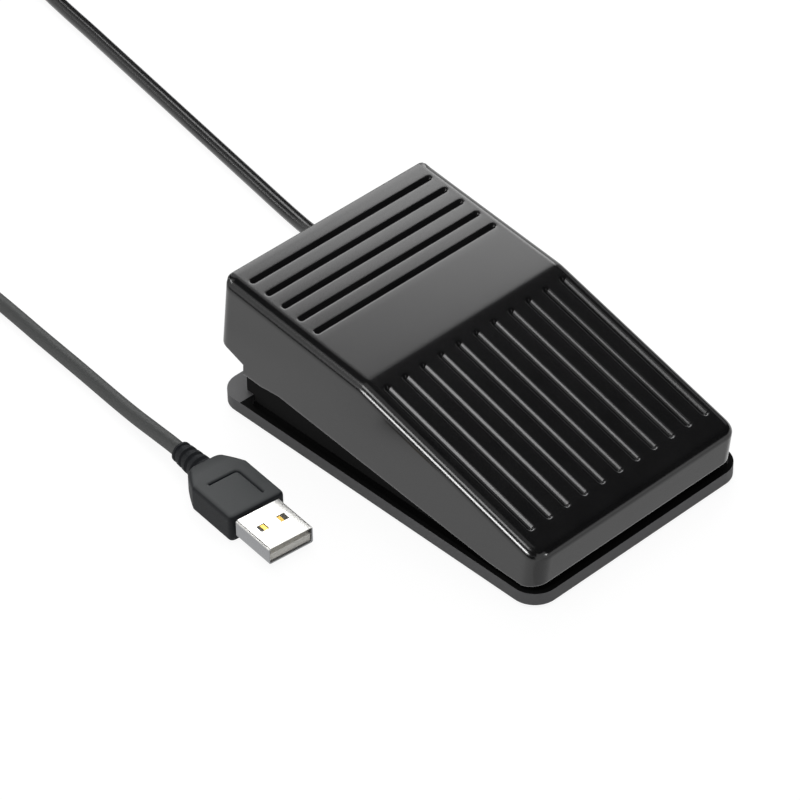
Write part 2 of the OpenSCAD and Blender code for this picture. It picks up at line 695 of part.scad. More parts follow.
module base_tray() {
  color("#1e1f21") difference() {
    union() {
      difference() {
        translate([0, 0, foot_h]) rounded_plate(base_w, base_l, base_h, base_corner_r);
        translate([0, -deck_l / 2 + rim_t / 2, floor_z])
          rounded_plate(base_w - 2 * rim_t, base_l - deck_l - rim_t, far, base_corner_r - rim_t);
      }
      for (s = [-1, 1]) {
        translate([s * lug_x - lug_w / 2, hinge_y, hinge_z]) {
          rotate([0, 90, 0]) cylinder(r = lug_r, h = lug_w);
          translate([0, -lug_r, floor_z - hinge_z - eps]) cube([lug_w, 2 * lug_r, hinge_z - floor_z]);
        }
      }
      guard_walls();
      upright_wall();
      switch_bracket();
      for (p = board_posts) translate([p[0], p[1], floor_z - eps]) cylinder(d = post_d, h = post_h + eps);
      translate([0, spring_y, floor_z - eps]) cylinder(d = peg_d, h = peg_l);
      translate([cord_x - clamp_w / 2, clamp_y, floor_z - eps]) cube([clamp_w, clamp_l, cord_z - floor_z]);
    }
    for (s = [-1, 1]) {
      rod_x(s * lug_x - lug_w, s * lug_x + lug_w, hinge_y, hinge_z, pin_d + 2 * tight);
      translate([cord_x + s * clamp_screw_x, clamp_y + clamp_l / 2, floor_z])
        cylinder(d = clamp_screw_d + 2 * tight, h = far);
      for (t = [-1, 1])
        translate([s * foot_x, t * foot_y, -eps]) cylinder(d = foot_d, h = foot_h + foot_sink + eps);
    }
    rod_y(cord_x, clamp_y - over, clamp_y + clamp_l + over, cord_z, cord_d + 2 * tight);
    for (i = [0, 1])
      rod_x(switch_left - bracket_t - over, switch_left + over, switch_hole_y + i * switch_pitch,
        switch_hole_z, switch_screw_d + 2 * tight);
    for (p = board_posts)
      translate([p[0], p[1], floor_z]) cylinder(d = board_screw_d + 2 * tight, h = far);
    translate([-foot_x, -panel_l / 2, -eps]) cube([2 * foot_x, panel_l, foot_h + panel_d]);
  }
}

module rubber_feet() {
  pocket_gap = 0.2;
  color("#17181a")
    for (sx = [-1, 1], sy = [-1, 1])
      translate([sx * foot_x, sy * foot_y, 0]) cylinder(d = foot_d - 2 * pocket_gap, h = foot_h + foot_sink);
}

module hinge_pin() {
  color("#b9bcc0") rod_x(-pin_end, pin_end, hinge_y, hinge_z, pin_d);
}

module pin_washers() {
  color("#8f9296")
    for (s = [-1, 1]) {
      centre = s * (ear_out + side_gap + washer_t / 2);
      difference() {
        rod_x(centre - washer_t / 2, centre + washer_t / 2, hinge_y, hinge_z, washer_d);
        rod_x(centre - washer_t, centre + washer_t, hinge_y, hinge_z, pin_d + 2 * tight);
      }
    }
}

// The spring's centre line: close turns at both ends and open turns between
function spring_height(turn) =
  let (rise = spring_l - wire_d - 2 * spring_end_gap, open = (rise - 2 * end_pitch) / (spring_turns - 2))
  turn < 1 ? end_pitch * turn
  : turn < spring_turns - 1 ? end_pitch + open * (turn - 1) : rise - end_pitch * (spring_turns - turn);
spring_path = [for (i = [0 : spring_turns * spring_steps])
  let (turn = i / spring_steps, r = (spring_d - wire_d) / 2)
  [r * cos(360 * turn), spring_y + r * sin(360 * turn),
   floor_z + spring_end_gap + wire_d / 2 + spring_height(turn)]];

module return_spring() {
  color("#a7abb0") tube(spring_path, wire_d, coil_sides);
}

module bump_stops() {
  color("#202124")
    for (s = [-1, 1]) translate([s * stop_x, stop_y, floor_z]) cylinder(d = stop_d, h = stop_h);
}

// Half of the switch body between two X planes, with its two screw holes
module switch_half(x0, w) {
  difference() {
    translate([x0, switch_y, switch_bottom]) cube([w, switch_l, switch_h]);
    for (i = [0, 1])
      rod_x(x0 - over, x0 + w + over, switch_hole_y + i * switch_pitch, switch_hole_z,
        switch_screw_d + screw_slack);
  }
}

module switch_case() {
  color("#1a1b1d") difference() {
    union() {
      switch_half(switch_left, case_w);
      for (s = [-1, 1]) {
        x0 = case_x + s * (lever_w / 2 - ear_t / 2) - ear_t / 2;
        rod_x(x0, x0 + ear_t, pivot_y, pivot_z, 2 * pivot_rise);
        translate([x0, pivot_y - pivot_rise, switch_top - eps]) cube([ear_t, 2 * pivot_rise, pivot_rise]);
      }
    }
    rod_x(case_x - lever_w, case_x + lever_w, pivot_y, pivot_z, pivot_d + 2 * pin_run);
    translate([case_x - plunger_depth / 2 - slot_gap, plunger_y - plunger_w / 2 - slot_gap,
               plunger_top - plunger_l - plunger_travel - plunger_room])
      cube([plunger_depth + 2 * slot_gap, plunger_w + 2 * slot_gap, far]);
  }
}

module switch_cover() {
  color("#26282b") switch_half(switch_left + case_w, switch_cover_w);
}

module switch_plunger() {
  color("#b3352c")
    translate([case_x - plunger_depth / 2, plunger_y - plunger_w / 2, plunger_top - plunger_l])
      cube([plunger_depth, plunger_w, plunger_l]);
}

module switch_lever() {
  inner = lever_w - 2 * ear_t - knuckle_gap;
  wide_y = pivot_rise + ear_clear;
  color("#c3c6c9") translate([case_x, pivot_y, pivot_z]) {
    rotate([lever_tilt, 0, 0]) {
      translate([-inner / 2, 0, -lever_t / 2]) cube([inner, lever_reach / 3, lever_t]);
      translate([-lever_w / 2, wide_y, -lever_t / 2]) cube([lever_w, lever_l - wide_y, lever_t]);
    }
    rod_x(-inner / 2, inner / 2, 0, 0, 2 * knuckle_r);
    rod_x(-lever_w / 2, lever_w / 2, 0, 0, pivot_d);
  }
}

module switch_terminals() {
  color("#c9b46a")
    for (y = terminal_y)
      translate([case_x - terminal_t / 2, y - terminal_w / 2, switch_bottom - terminal_l])
        cube([terminal_t, terminal_w, terminal_l]);
}

module switch_screws() {
  color("#9b9fa4")
    for (i = [0, 1])
      translate([switch_left + switch_w, switch_hole_y + i * switch_pitch, switch_hole_z])
        rotate([0, 90, 0]) pan_screw(switch_screw_d, switch_w + bracket_t - screw_short);
}

module controller_board() {
  color("#1f5a3a") difference() {
    translate([board_x - board_w / 2, board_y - board_l / 2, board_z]) cube([board_w, board_l, board_t]);
    for (p = board_posts)
      translate([p[0], p[1], board_z - over])
        cylinder(d = board_screw_d + screw_slack, h = board_t + 2 * over);
  }
}

module board_screws() {
  color("#9b9fa4")
    for (p = board_posts)
      translate([p[0], p[1], board_top]) pan_screw(board_screw_d, board_t + post_h - screw_short);
}

// Controller chip: its body on two rows of legs
module board_chip() {
  chip_l = 10;
  chip_w = 4;
  chip_h = 1.5;
  chip_legs = 8;
  leg_pitch = 1.27;
  leg_reach = 1;
  leg_t = 0.4;
  leg_sink = 0.05;
  chip_stand = 0.1;
  chip_back = 1;
  translate([board_x, board_y - chip_back, board_top]) {
    color("#141517") translate([-chip_w / 2, -chip_l / 2, chip_stand]) cube([chip_w, chip_l, chip_h]);
    color("#c9ccd0")
      for (s = [-1, 1], i = [0 : chip_legs - 1])
        translate([s * (chip_w + leg_reach) / 2, (i - (chip_legs - 1) / 2) * leg_pitch, leg_t / 2])
          cube([leg_reach + 2 * leg_sink, leg_t, leg_t], center = true);
  }
}

// Quartz crystal can lying across the board
module board_crystal() {
  can_l = 10.5;
  can_w = 4.5;
  can_h = 3.4;
  can_back = 10.4;
  color("#d0d2d5") translate([board_x, board_y - can_back, board_top]) slot_bar(can_l, can_w, can_h);
}

module board_capacitors() {
  can_d = 4;
  can_h = 5.4;
  can_x = 2.6;
  can_y = 8.2;
  color("#22304f")
    for (s = [-1, 1])
      translate([board_x + s * can_x, board_y + can_y, board_top]) cylinder(d = can_d, h = can_h);
}

module board_resistors() {
  chip_l = 2;
  chip_w = 1.2;
  chip_h = 0.6;
  chips = 4;
  chip_pitch = 3.2;
  chip_inset = 3;
  chip_back = 6;
  color("#2a2a2a")
    for (i = [0 : chips - 1])
      translate([board_x - board_w / 2 + chip_inset, board_y - chip_back + i * chip_pitch, board_top])
        cube([chip_l, chip_w, chip_h]);
}

// Socket at the board's rear edge that the cord's wires plug into
module cord_socket() {
  socket_x = min(cord_x, board_x + board_w / 2 - socket_w / 2);
  wall = 1;
  bottom = 1.6;
  color("#e8e6df") translate([socket_x - socket_w / 2, board_rear - socket_l, board_top]) difference() {
    cube([socket_w, socket_l, socket_h]);
    translate([wall, wall, bottom]) cube([socket_w - 2 * wall, socket_l - 2 * wall, socket_h]);
  }
}

// Two wires from the switch's terminals to the board's edge
module switch_wires() {
  lift = 0.1;
  start_gap = 0.3;
  wire_z = board_top + wire_jacket_d / 2 + lift;
  board_left = board_x - board_w / 2;
  start_x = case_x + terminal_t / 2 + start_gap;
  for (i = [0, 1]) {
    y = terminal_y[i];
    color(i == 0 ? "#c23a30" : "#2c2d30")
      tube([[start_x, y, wire_z + 0.8], [start_x + 3, y, wire_z + 0.3], [start_x + 6, y - 0.6, wire_z - 0.2],
            [board_left - 1, y - 1, wire_z], [board_left + 2, y - 1, wire_z]], wire_jacket_d, coil_sides);
  }
}

// Moulded gland: a flange inside the wall, a collar outside and a ribbed, tapered tail
module cord_gland() {
  flange_r = cord_d / 2 + 2.2;
  collar_r = cord_d / 2 + 1.7;
  root_r = cord_d / 2 + 0.95;
  tip_r = cord_d / 2 + 0.45;
  groove_r = tip_r - 0.05;
  collar_end = upright_rear + flange_t;
  ribs = 3;
  groove_pitch = (gland_end - collar_end) / (ribs + 1);
  first = 0.75;
  color("#19191b") translate([cord_x, 0, cord_z]) difference() {
    rotate([-90, 0, 0]) rotate_extrude()
      polygon([[0, deck_y - flange_t], [flange_r, deck_y - flange_t], [flange_r, deck_y],
               [neck_r - tight, deck_y], [neck_r - tight, upright_rear], [collar_r, upright_rear],
               [collar_r, collar_end], [root_r, collar_end], [tip_r, gland_end], [0, gland_end]]);
    for (i = [0 : ribs - 1])
      translate([0, collar_end + (first + i) * groove_pitch, 0]) rotate([-90, 0, 0]) difference() {
        cylinder(r = flange_r, h = groove_pitch / 2);
        translate([0, 0, -eps]) cylinder(r = groove_r, h = groove_pitch / 2 + 2 * eps);
      }
  }
}

module cord_inner() {
  color("#222325") rod_y(cord_x, inner_end, deck_y - flange_t, cord_z, cord_d);
}

// Four thin wires from the cord's end to the board's socket
module cord_wires() {
  offset_r = 0.75;
  thin_d = wire_jacket_d - 0.2;
  for (k = [0 : 3])
    color(["#c23a30", "#e9e9e6", "#3d8a4c", "#2b2b2d"][k])
      rod_y(cord_x + offset_r * cos(45 + 90 * k), board_rear, inner_end, cord_z + offset_r * sin(45 + 90 * k),
        thin_d);
}

module cord_clamp() {
  color("#2a2b2d") difference() {
    translate([cord_x - clamp_w / 2, clamp_y, cord_z + cap_gap]) cube([clamp_w, clamp_l, clamp_h]);
    rod_y(cord_x, clamp_y - over, clamp_y + clamp_l + over, cord_z, cord_d + 2 * tight);
    for (s = [-1, 1])
      translate([cord_x + s * clamp_screw_x, clamp_y + clamp_l / 2, cord_z])
        cylinder(d = clamp_screw_d + screw_slack, h = far);
  }
}

module clamp_screws() {
  color("#9b9fa4")
    for (s = [-1, 1])
      translate([cord_x + s * clamp_screw_x, clamp_y + clamp_l / 2, cap_top])
        pan_screw(clamp_screw_d, cap_top - floor_z - over);
}

module cord_lead() {
  color("#1c1d1f") tube(lead_route, cord_d, cord_sides);
}

module cord_tail() {
  color("#2c2e31") tube(tail_route, cord_d, cord_sides);
}

// The stored coil: each layer spirals in or out.
// The cord climbs a layer in the half turn where its spiral turns back.
function coil_radius(turn) =
  let (layer = min(floor(turn / coil_turns), coil_layers - 1),
    along = min(turn - layer * coil_turns, coil_turns))
  coil_r - coil_pitch * (layer % 2 == 0 ? along : coil_turns - along);
function coil_climb(turn) =
  coil_pitch * len([for (k = [1 : coil_layers - 1]) if (turn >= k * coil_turns + quarter) 1])
  + coil_pitch * max(concat([0], [for (k = [1 : coil_layers - 1])
    if (abs(turn - k * coil_turns) < quarter) (turn - k * coil_turns + quarter) / (2 * quarter)]));
coil_path = concat(
  [[coil_c[0] + cord_d, lead_y, coil_z]],
  [for (i = [0 : round(coil_all * coil_steps)])
    let (turn = i / coil_steps, r = coil_radius(turn), angle = 90 + 360 * turn)
    [coil_c[0] + r * cos(angle), coil_c[1] + r * sin(angle), coil_z + coil_climb(turn)]],
  [[tail_x, coil_c[1] - cord_d, tail_top]]);

module cord_coil() {
  color("#1f2022") tube(coil_path, cord_d, coil_sides);
}

// Flat strap closed round the coil's bundle on its near side
module coil_tie() {
  tie_turn = -45;
  inner_x = coil_r - coil_turns * coil_pitch - cord_d / 2 - 2 * tie_gap;
  bundle_w = coil_turns * coil_pitch + cord_d + 4 * tie_gap;
  bundle_h = (coil_layers - 1) * coil_pitch + cord_d + 2 * tie_gap;
  color("#2d2e31") translate([coil_c[0], coil_c[1], 0]) rotate([0, 0, tie_turn]) difference() {
    translate([inner_x - tie_t, -tie_w / 2, 0]) cube([bundle_w + 2 * tie_t, tie_w, bundle_h + 2 * tie_t]);
    translate([inner_x, -tie_w, tie_t]) cube([bundle_w, 2 * tie_w, bundle_h]);
  }
}

// Carries a piece of the plug to where the plug lies: its tip at the origin and its body along +Y
module at_plug() {
  translate([plug_tip[0], plug_tip[1], plug_z]) rotate([0, 0, -plug_yaw]) children();
}

module plug_shell() {
  window = 2.2;
  window_x = 2.7;
  window_y = 5.4;
  total = shell_l + shell_sink;
  color("#d7d9dc") at_plug() difference() {
    translate([-shell_w / 2, 0, -shell_h / 2]) cube([shell_w, total, shell_h]);
    translate([-shell_w / 2 + shell_t, -over, -shell_h / 2 + shell_t])
      cube([shell_w - 2 * shell_t, total + 2 * over, shell_h - 2 * shell_t]);
    for (s = [-1, 1])
      translate([s * window_x - window / 2, window_y, -shell_h]) cube([window, window, 2 * shell_h]);
  }
}

tongue_h = 1.8;
tongue_gap = 0.05;
tongue_top = -shell_h / 2 + shell_t + tongue_gap + tongue_h;
contact_t = 0.15;

module plug_tongue() {
  setback = 0.6;
  color("#efefea") at_plug()
    translate([-shell_w / 2 + shell_t + tongue_gap, setback, -shell_h / 2 + shell_t + tongue_gap])
      cube([shell_w - 2 * (shell_t + tongue_gap), shell_l + shell_sink - setback, tongue_h]);
}

// Four contacts on the tongue; the outer two, for power, start nearer the tip
module plug_contacts() {
  contact_w = 1;
  contact_x = [-3.5, -1, 1, 3.5];
  contact_start = [2, 3, 3, 2];
  contact_end = 9.4;
  color("#d4b24a") at_plug()
    for (i = [0 : len(contact_x) - 1])
      translate([contact_x[i] - contact_w / 2, contact_start[i], tongue_top])
        cube([contact_w, contact_end - contact_start[i], contact_t]);
}

// Moulded grip: a flat block whose rear shoulders taper to the strain relief
module plug_grip() {
  shoulder_l = 6;
  neck_w = 9;
  mark_w = 0.8;
  mark_d = 0.4;
  mark_front = grip_l * 0.15;
  mark_rear = grip_l * 0.6;
  color("#3a3d41") at_plug() translate([0, shell_l, 0]) difference() {
    translate([0, 0, -grip_h / 2]) linear_extrude(grip_h)
      polygon([[-grip_w / 2, 0], [grip_w / 2, 0], [grip_w / 2, grip_l - shoulder_l], [neck_w / 2, grip_l],
               [-neck_w / 2, grip_l], [-grip_w / 2, grip_l - shoulder_l]]);
    translate([-shell_w / 2 - tight, -over, -shell_h / 2 - tight])
      cube([shell_w + 2 * tight, shell_sink + over, shell_h + 2 * tight]);
    translate([-grip_w / 4, mark_rear, grip_h / 2 - mark_d]) cube([grip_w / 2, mark_w, over]);
    translate([grip_w / 4 - mark_w, mark_front, grip_h / 2 - mark_d])
      cube([mark_w, mark_rear - mark_front, over]);
  }
}

module plug_strain_relief() {
  root_d = 6.4;
  tip_d = cord_d + 1.4;
  core_d = cord_d + 0.6;
  ribs = 4;
  rib_pitch = relief_l / ribs;
  slit_w = rib_pitch * 0.4;
  slit_at = 0.3;
  color("#34373a") at_plug() translate([0, shell_l + grip_l, 0]) rotate([-90, 0, 0]) difference() {
    cylinder(d1 = root_d, d2 = tip_d, h = relief_l);
    for (i = [0 : ribs - 1])
      translate([0, 0, (i + slit_at) * rib_pitch]) difference() {
        cylinder(d = root_d + over, h = slit_w);
        translate([0, 0, -eps]) cylinder(d = core_d, h = slit_w + 2 * eps);
      }
  }
}

echo(str("least gap between the coil's turns: ", least_gap(coil_path, coil_steps, cord_d), " mm"));
echo(str("least gap between the spring's turns: ", least_gap(spring_path, spring_steps, wire_d), " mm"));

base_tray();
rubber_feet();
pedal_cover();
hinge_pin();
pin_washers();
return_spring();
bump_stops();
switch_case();
switch_cover();
switch_plunger();
switch_lever();
switch_terminals();
switch_screws();
controller_board();
board_chip();
board_crystal();
board_capacitors();
board_resistors();
cord_socket();
board_screws();
switch_wires();
cord_gland();
cord_inner();
cord_wires();
cord_clamp();
clamp_screws();
cord_lead();
cord_coil();
coil_tie();
cord_tail();
plug_strain_relief();
plug_grip();
plug_shell();
plug_tongue();
plug_contacts();
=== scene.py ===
"""Dresses the CAD model of a USB foot pedal switch: cover, cord, plug, return spring, finishes and stage."""

import json
import math

import bmesh
import bpy
import numpy as np
from bpy.props import FloatProperty, FloatVectorProperty, PointerProperty
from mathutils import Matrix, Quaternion, Vector


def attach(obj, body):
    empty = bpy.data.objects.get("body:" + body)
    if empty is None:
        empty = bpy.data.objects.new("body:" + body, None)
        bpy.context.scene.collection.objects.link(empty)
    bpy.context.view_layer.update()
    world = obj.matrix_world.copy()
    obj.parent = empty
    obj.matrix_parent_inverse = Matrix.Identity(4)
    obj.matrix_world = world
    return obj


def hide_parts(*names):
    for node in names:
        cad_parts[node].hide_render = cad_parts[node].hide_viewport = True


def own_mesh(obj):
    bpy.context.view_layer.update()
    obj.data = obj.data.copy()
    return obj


bl_info = {
    "name": "Foot pedal switch",
    "version": (1, 0, 0),
    "blender": (4, 5, 0),
    "location": "3D View > Sidebar > Foot pedal",
    "description": "Dresses the CAD model of a foot pedal switch and sets it on a lit white floor",
    "category": "Object",
}

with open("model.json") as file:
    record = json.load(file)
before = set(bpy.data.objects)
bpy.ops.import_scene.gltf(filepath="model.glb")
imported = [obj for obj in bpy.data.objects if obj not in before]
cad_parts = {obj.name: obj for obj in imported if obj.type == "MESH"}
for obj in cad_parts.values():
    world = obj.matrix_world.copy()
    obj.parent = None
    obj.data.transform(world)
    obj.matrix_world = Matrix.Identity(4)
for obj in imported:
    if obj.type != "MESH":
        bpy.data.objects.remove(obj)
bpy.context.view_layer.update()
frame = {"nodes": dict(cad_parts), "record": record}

MM = 0.001

# Where the CAD model has things, in millimetres. The cover's own frame starts at the hinge axis, level, and
# is turned by the rest tilt.
HINGE_Y, HINGE_Z = -44.0, 8.5
REST_TILT = math.radians(6.7)
COVER_FRONT, COVER_REAR = -5.8, 95.35
COVER_TOP, COVER_LOW = 16.66, -2.74
COVER_HALF = 31.7
COVER_BREAK = 50.6
COVER_SLOPE = math.radians(9.757)
# Lower edge of the cover's sides: places along it and how far it hangs below the low line
SKIRT_AT = [COVER_FRONT, -1.8, 8.0, 75.4, 80.8, 86.9, 87.1, COVER_REAR]
SKIRT_FALL = [0.0, 1.5, 2.5, 3.0, 4.2, 4.7, 2.0, 0.0]
ARCH_X, ARCH_HALF, ARCH_RISE = 18.0, 4.75, 3.0
CROSS_GROOVES = 90.0 - 5.25 * np.arange(5)
CROSS_REACH = 28.0
LONG_GROOVES = 0.3 + 5.46 * np.arange(-5, 6)
LONG_FROM, LONG_TO = 0.73, 47.45

# The base: its corners' centres and radius, its tray's floor, its rim's top and the deck behind the tray
BASE_X, BASE_Y, BASE_ROUND = 27.2, 45.0, 6.0
TRAY_Z, RIM_Z, DECK_Y = 2.4, 4.0, 43.0

# What the cover carries inside: hinge ears, stop feet, spring seat with its peg, catch hooks, switch rib
EAR_IN, EAR_OUT, EAR_R, EAR_TOP, EAR_BORE = 25.4, 27.9, 3.2, 6.6, 1.55
STOP_X, STOP_Y, STOP_R, STOP_LOW, STOP_TOP = 24.0, 24.0, 2.5, 12.2, 27.6
PEG_R, PEG_LOW, SEAT_R, SEAT_LOW, SEAT_TOP = 2.5, 22.0, 6.0, 26.0, 33.0
HOOK_X, HOOK_HALF, HOOK_LOW, HOOK_TOP, TOE_TOP = 8.0, 3.0, 13.0, 33.0, 14.7
HOOK_STEM, HOOK_TOE = (45.6, 47.2), (43.9, 46.0)
RIB_X, RIB_Y, RIB_Z = (-12.5, -7.5), (26.9, 28.1), (28.37, 32.5)

# The return spring: its foot, its length at rest and pressed, its turns, how far an end turn rises, and how
# far in from either end the wire's middle starts
SPRING_X, SPRING_Y = 0.0, 35.5
SPRING_FOOT, SPRING_REST, SPRING_PRESSED = TRAY_Z, 23.6, 17.31
SPRING_TURNS, SPRING_END_PITCH, SPRING_SEAT = 8, 1.4, 0.55

PLUG_TIP = np.array([-57.7, -0.5, 3.6])
PLUG_YAW = math.radians(5.6)
PLUG_WAY = np.array([math.sin(PLUG_YAW), math.cos(PLUG_YAW), 0.0])
SHELL_HALF_W, SHELL_HALF_H, SHELL_WALL, SHELL_L = 6.0, 2.25, 0.3, 18.0
WINDOW_IN, WINDOW_OUT, WINDOW_FRONT, WINDOW_REAR = 1.6, 3.8, 5.4, 7.6
GRIP_FRONT, GRIP_REAR, GRIP_HALF_W, GRIP_HALF_H = 12.0, 32.0, 7.5, 3.6
SHOULDER_L, SHOULDER_W, SHOULDER_H = 6.0, 3.0, 0.25
# The line sunk into the grip's top: one stretch along the plug, bent into one across it
MARK_X, MARK_LEFT, MARK_FRONT, MARK_REAR, MARK_BEND = 3.7, -4.0, 15.0, 24.3, 1.0
RELIEF_REAR, RELIEF_R, RELIEF_END_R, RELIEF_BORE = 41.0, 3.2, 2.55, 1.95
SLITS, SLIT_R = 4, 2.15

# The coil of spare cord, and the strap round one side of it, which lies between two radii of the coil
COIL_X, COIL_Y, COIL_Z = -21.5, 195.0, 2.85
COIL_R, COIL_PITCH, COIL_LAYERS, COIL_TURNS, COIL_STEPS = 24.0, 4.15, 4, 10.25, 24
TIE_IN, TIE_OUT, TIE_TOP, TIE_HALF, TIE_THICK = 10.316, 27.05, 18.15, 3.5, 0.8
TIE_ROUND, TIE_EDGE = 1.9, 0.3
TIE_TURN = math.radians(-45)

# The cord's runs to and from its coil: points of its middle, given one by one, and its height on the floor
LIE = 1.95
LEAD_ROUTE = [
    [18, 56, 7.7], [18, 58, 7.7], [18.8, 62, 7.3], [20.5, 68, 5.8], [22.1, 74, 3.9], [23.3, 80, 2.45],
    [24.4, 86, LIE], *([25.7 + 1.4 * i, 94 + 8 * i, LIE] for i in range(12)), [42.4, 190, LIE],
    [43.8, 198, LIE], [44.6, 202.6, LIE], [44.6, 207.4, LIE], [43, 212, LIE], [39.9, 215.7, LIE],
    [35.6, 218.2, LIE], [30.9, 219, LIE], [24, 219, 2.05], [16, 219, 2.25], [8, 219, 2.55], [-1, 219, 2.85],
    [-10, 219, 2.85], [-17.8, 219, 2.85]]
TAIL_ROUTE = [
    [-45.5, 191.3, 15.3], [-45.5, 187.5, 15.3], [-45.5, 180.5, 13.431], [-45.5, 173.5, 11.4285],
    [-45.5, 166, 9.159], [-45.4, 157.5, 6.6225], [-45.3, 149, 4.353], [-45.3, 140.5, 2.751],
    [-45.5, 132, 2.0835], [-45.9, 123, LIE], [-46.6, 113, LIE], [-47.4, 104, LIE], [-48.2, 96, LIE],
    [-48.9, 88, LIE], [-49.6, 80, LIE], [-50.4, 72, 2.0], [-51.2, 65, 2.2], [-52.2, 57, 2.75],
    [-52.9, 50, 3.3], *(PLUG_TIP + reach * PLUG_WAY for reach in (RELIEF_REAR + 3, RELIEF_REAR))]

# Lamps, by the name of their level: azimuth, elevation, distance, width and height, in degrees and metres
LAMPS = {
    "key": (50, 37, 1.0, 0.76, 0.375),
    "soft": (165, 40, 1.0, 0.3, 0.21),
    "strip": (166, 6, 1.0, 0.26, 0.2),
    "upper": (163, 64, 1.0, 0.3, 0.44),
    "dim": (147, 26, 1.0, 0.34, 0.8),
    "right": (8, 26, 1.0, 0.3, 0.3),
    "over": (48, 55.8, 1.0, 0.45, 0.31),
    "corner": (276, 11, 1.0, 0.16, 0.1),
    "line": (123, 26, 1.0, 0.12, 0.16),
    "broad": (50, 41, 1.0, 0.76, 0.54),
    "fill": (0, 90, 1.6, 1.6, 1.6),
}
UNMIRRORED = ("broad", "fill")

# The camera that shows what the photo shows: where it stands, what it looks at, its roll and its lens
CAMERA_AT, CAMERA_AIM = (-0.516591, -0.521082, 0.619246), (-0.0033675, 0.0217016, 0.0)
CAMERA_ROLL, CAMERA_LENS = math.radians(-0.8401), 191.385


def linear(hex_colour):
    """An sRGB hex colour as linear red, green and blue."""
    srgb = np.array([int(hex_colour[i:i + 2], 16) for i in (1, 3, 5)]) / 255
    return tuple(np.where(srgb <= 0.04045, srgb / 12.92, ((srgb + 0.055) / 1.055) ** 2.4).tolist())


def length(name, description, millimetres):
    """A length property with its default given in millimetres."""
    return FloatProperty(name=name, description=description, default=millimetres * MM, min=0.0, unit="LENGTH")


def colour(name, description, hex_colour):
    """A colour property with its default given as an sRGB hex value."""
    return FloatVectorProperty(name=name, description=description, default=linear(hex_colour),
                               subtype="COLOR", min=0.0, max=1.0)


def brightness(name, description, radiance):
    """A lamp's level, as the radiance that a mirror would show."""
    return FloatProperty(name=name, description=description, default=radiance, min=0.0)


def in_mm(sizes, *names):
    """Some of a group's lengths in millimetres."""
    return [getattr(sizes, name) / MM for name in names]


class CoverSizes(bpy.types.PropertyGroup):
    """Rounds and grooves of the moulded pedal cover."""

    side_round: length("Side edge round", "Radius between the tread and the cover's side walls", 3.0)
    front_round: length("Front edge round", "Radius between the tread and the cover's front wall", 2.0)
    rear_round: length("Rear edge round", "Radius between the tread and the cover's rear wall", 0.5)
    corner_round: length("Corner round", "Radius of the cover's upright front corners", 4.0)
    rear_corner: length("Rear corner round", "Radius of the cover's upright rear corners", 2.4)
    break_round: length("Break round", "Length of the soft bend between the level tread and the slope", 0.5)
    wall: length("Wall", "Thickness of the cover's walls and top", 2.2)
    lip_round: length("Lip round", "Radius along the cover's lower edge", 0.4)
    cross_depth: length("Cross groove depth", "Depth of the grooves across the level tread", 0.78)
    cross_width: length("Cross groove width", "Width of the grooves across the level tread", 1.55)
    long_depth: length("Slope groove depth", "Depth of the grooves down the slope", 0.87)
    long_width: length("Slope groove width", "Width of the grooves down the slope", 1.9)


class CordSizes(bpy.types.PropertyGroup):
    """The cord's own sizes."""

    diameter: length("Diameter", "Thickness of the cord's jacket", 3.7)
    real_length: length("Length", "Length of the cord from the pedal to the plug's strain relief", 1577.0)


class PlugSizes(bpy.types.PropertyGroup):
    """Rounds of the plug's moulded and pressed pieces, and the line on its grip."""

    grip_round: length("Grip round", "Radius along the grip's edges", 1.1)
    shell_round: length("Shell round", "Radius of the metal shell's bends", 0.5)
    mark_width: length("Mark width", "Width of the line sunk into the grip's top", 1.0)
    mark_depth: length("Mark depth", "Depth of the line sunk into the grip's top", 0.6)


class SpringSizes(bpy.types.PropertyGroup):
    """The return spring's wire and coil."""

    wire: length("Wire", "Diameter of the spring's wire", 0.9)
    middle: length("Middle radius", "Radius of the coil at the wire's middle", 4.05)


class FinishColours(bpy.types.PropertyGroup):
    """Colours of the finishes."""

    cover: colour("Cover", "Black of the moulded pedal cover", "#101011")
    base: colour("Base", "Dark grey that the rim of the dull base shows in the light", "#646465")
    cord_far: colour("Cord behind", "Black of the cord's glossy run behind the pedal", "#161617")
    cord_near: colour("Cord at the plug", "Dark grey of the cord's dull run to the plug", "#343635")
    plug: colour("Plug grip", "Dark grey of the plug's moulded grip", "#47494a")
    # Painted shade: near black painted on the grip's sides and in its sunk line
    plug_flank_shade: colour("Plug grip flank", "Near black of the grip's sides", "#14171b")
    shell: colour("Plug shell", "Nickel plating of the plug's shell", "#e9e8e4")
    # Painted shade: a darker grey painted on the shell's sides
    shell_flank_shade: colour("Plug shell flank", "Duller nickel of the shell's sides", "#8f9092")
    steel: colour("Steel", "Bright zinc-plated steel of pins and screws", "#c9cbce")
    spring: colour("Spring", "Drawn steel of the return spring", "#b4b6ba")
    rubber: colour("Rubber", "Black rubber of feet and stops", "#1d1d1e")


class StageSettings(bpy.types.PropertyGroup):
    """Brightness of the lamps."""

    key: brightness("Key", "Card behind and to the right, seen in the level tread", 4.8)
    broad: brightness("Broad", "Light from behind and to the right that no surface mirrors", 2.9)
    corner: brightness("Corner", "Small card in front, seen as a dot in the cover's near corner", 25.0)
    soft: brightness("Soft", "Card on the left, seen in the slope's grooves", 8.0)
    strip: brightness("Strip", "Low strip on the left, seen as the bright line along the slope", 29.0)
    upper: brightness("Upper", "Dim card high on the left, seen inside the slope's edge", 0.7)
    dim: brightness("Dim", "Grey card on the left, seen in the level tread's edge", 1.0)
    right: brightness("Right", "Card on the right, seen in the left lips of the grooves", 0.6)
    over: brightness("Over", "Card above the key, seen where the level tread's edge bends away", 0.85)
    fill: brightness("Fill", "Light from above that no surface mirrors", 1.6)
    line: brightness("Line", "Card on the left, seen as the line along the cord", 9.0)


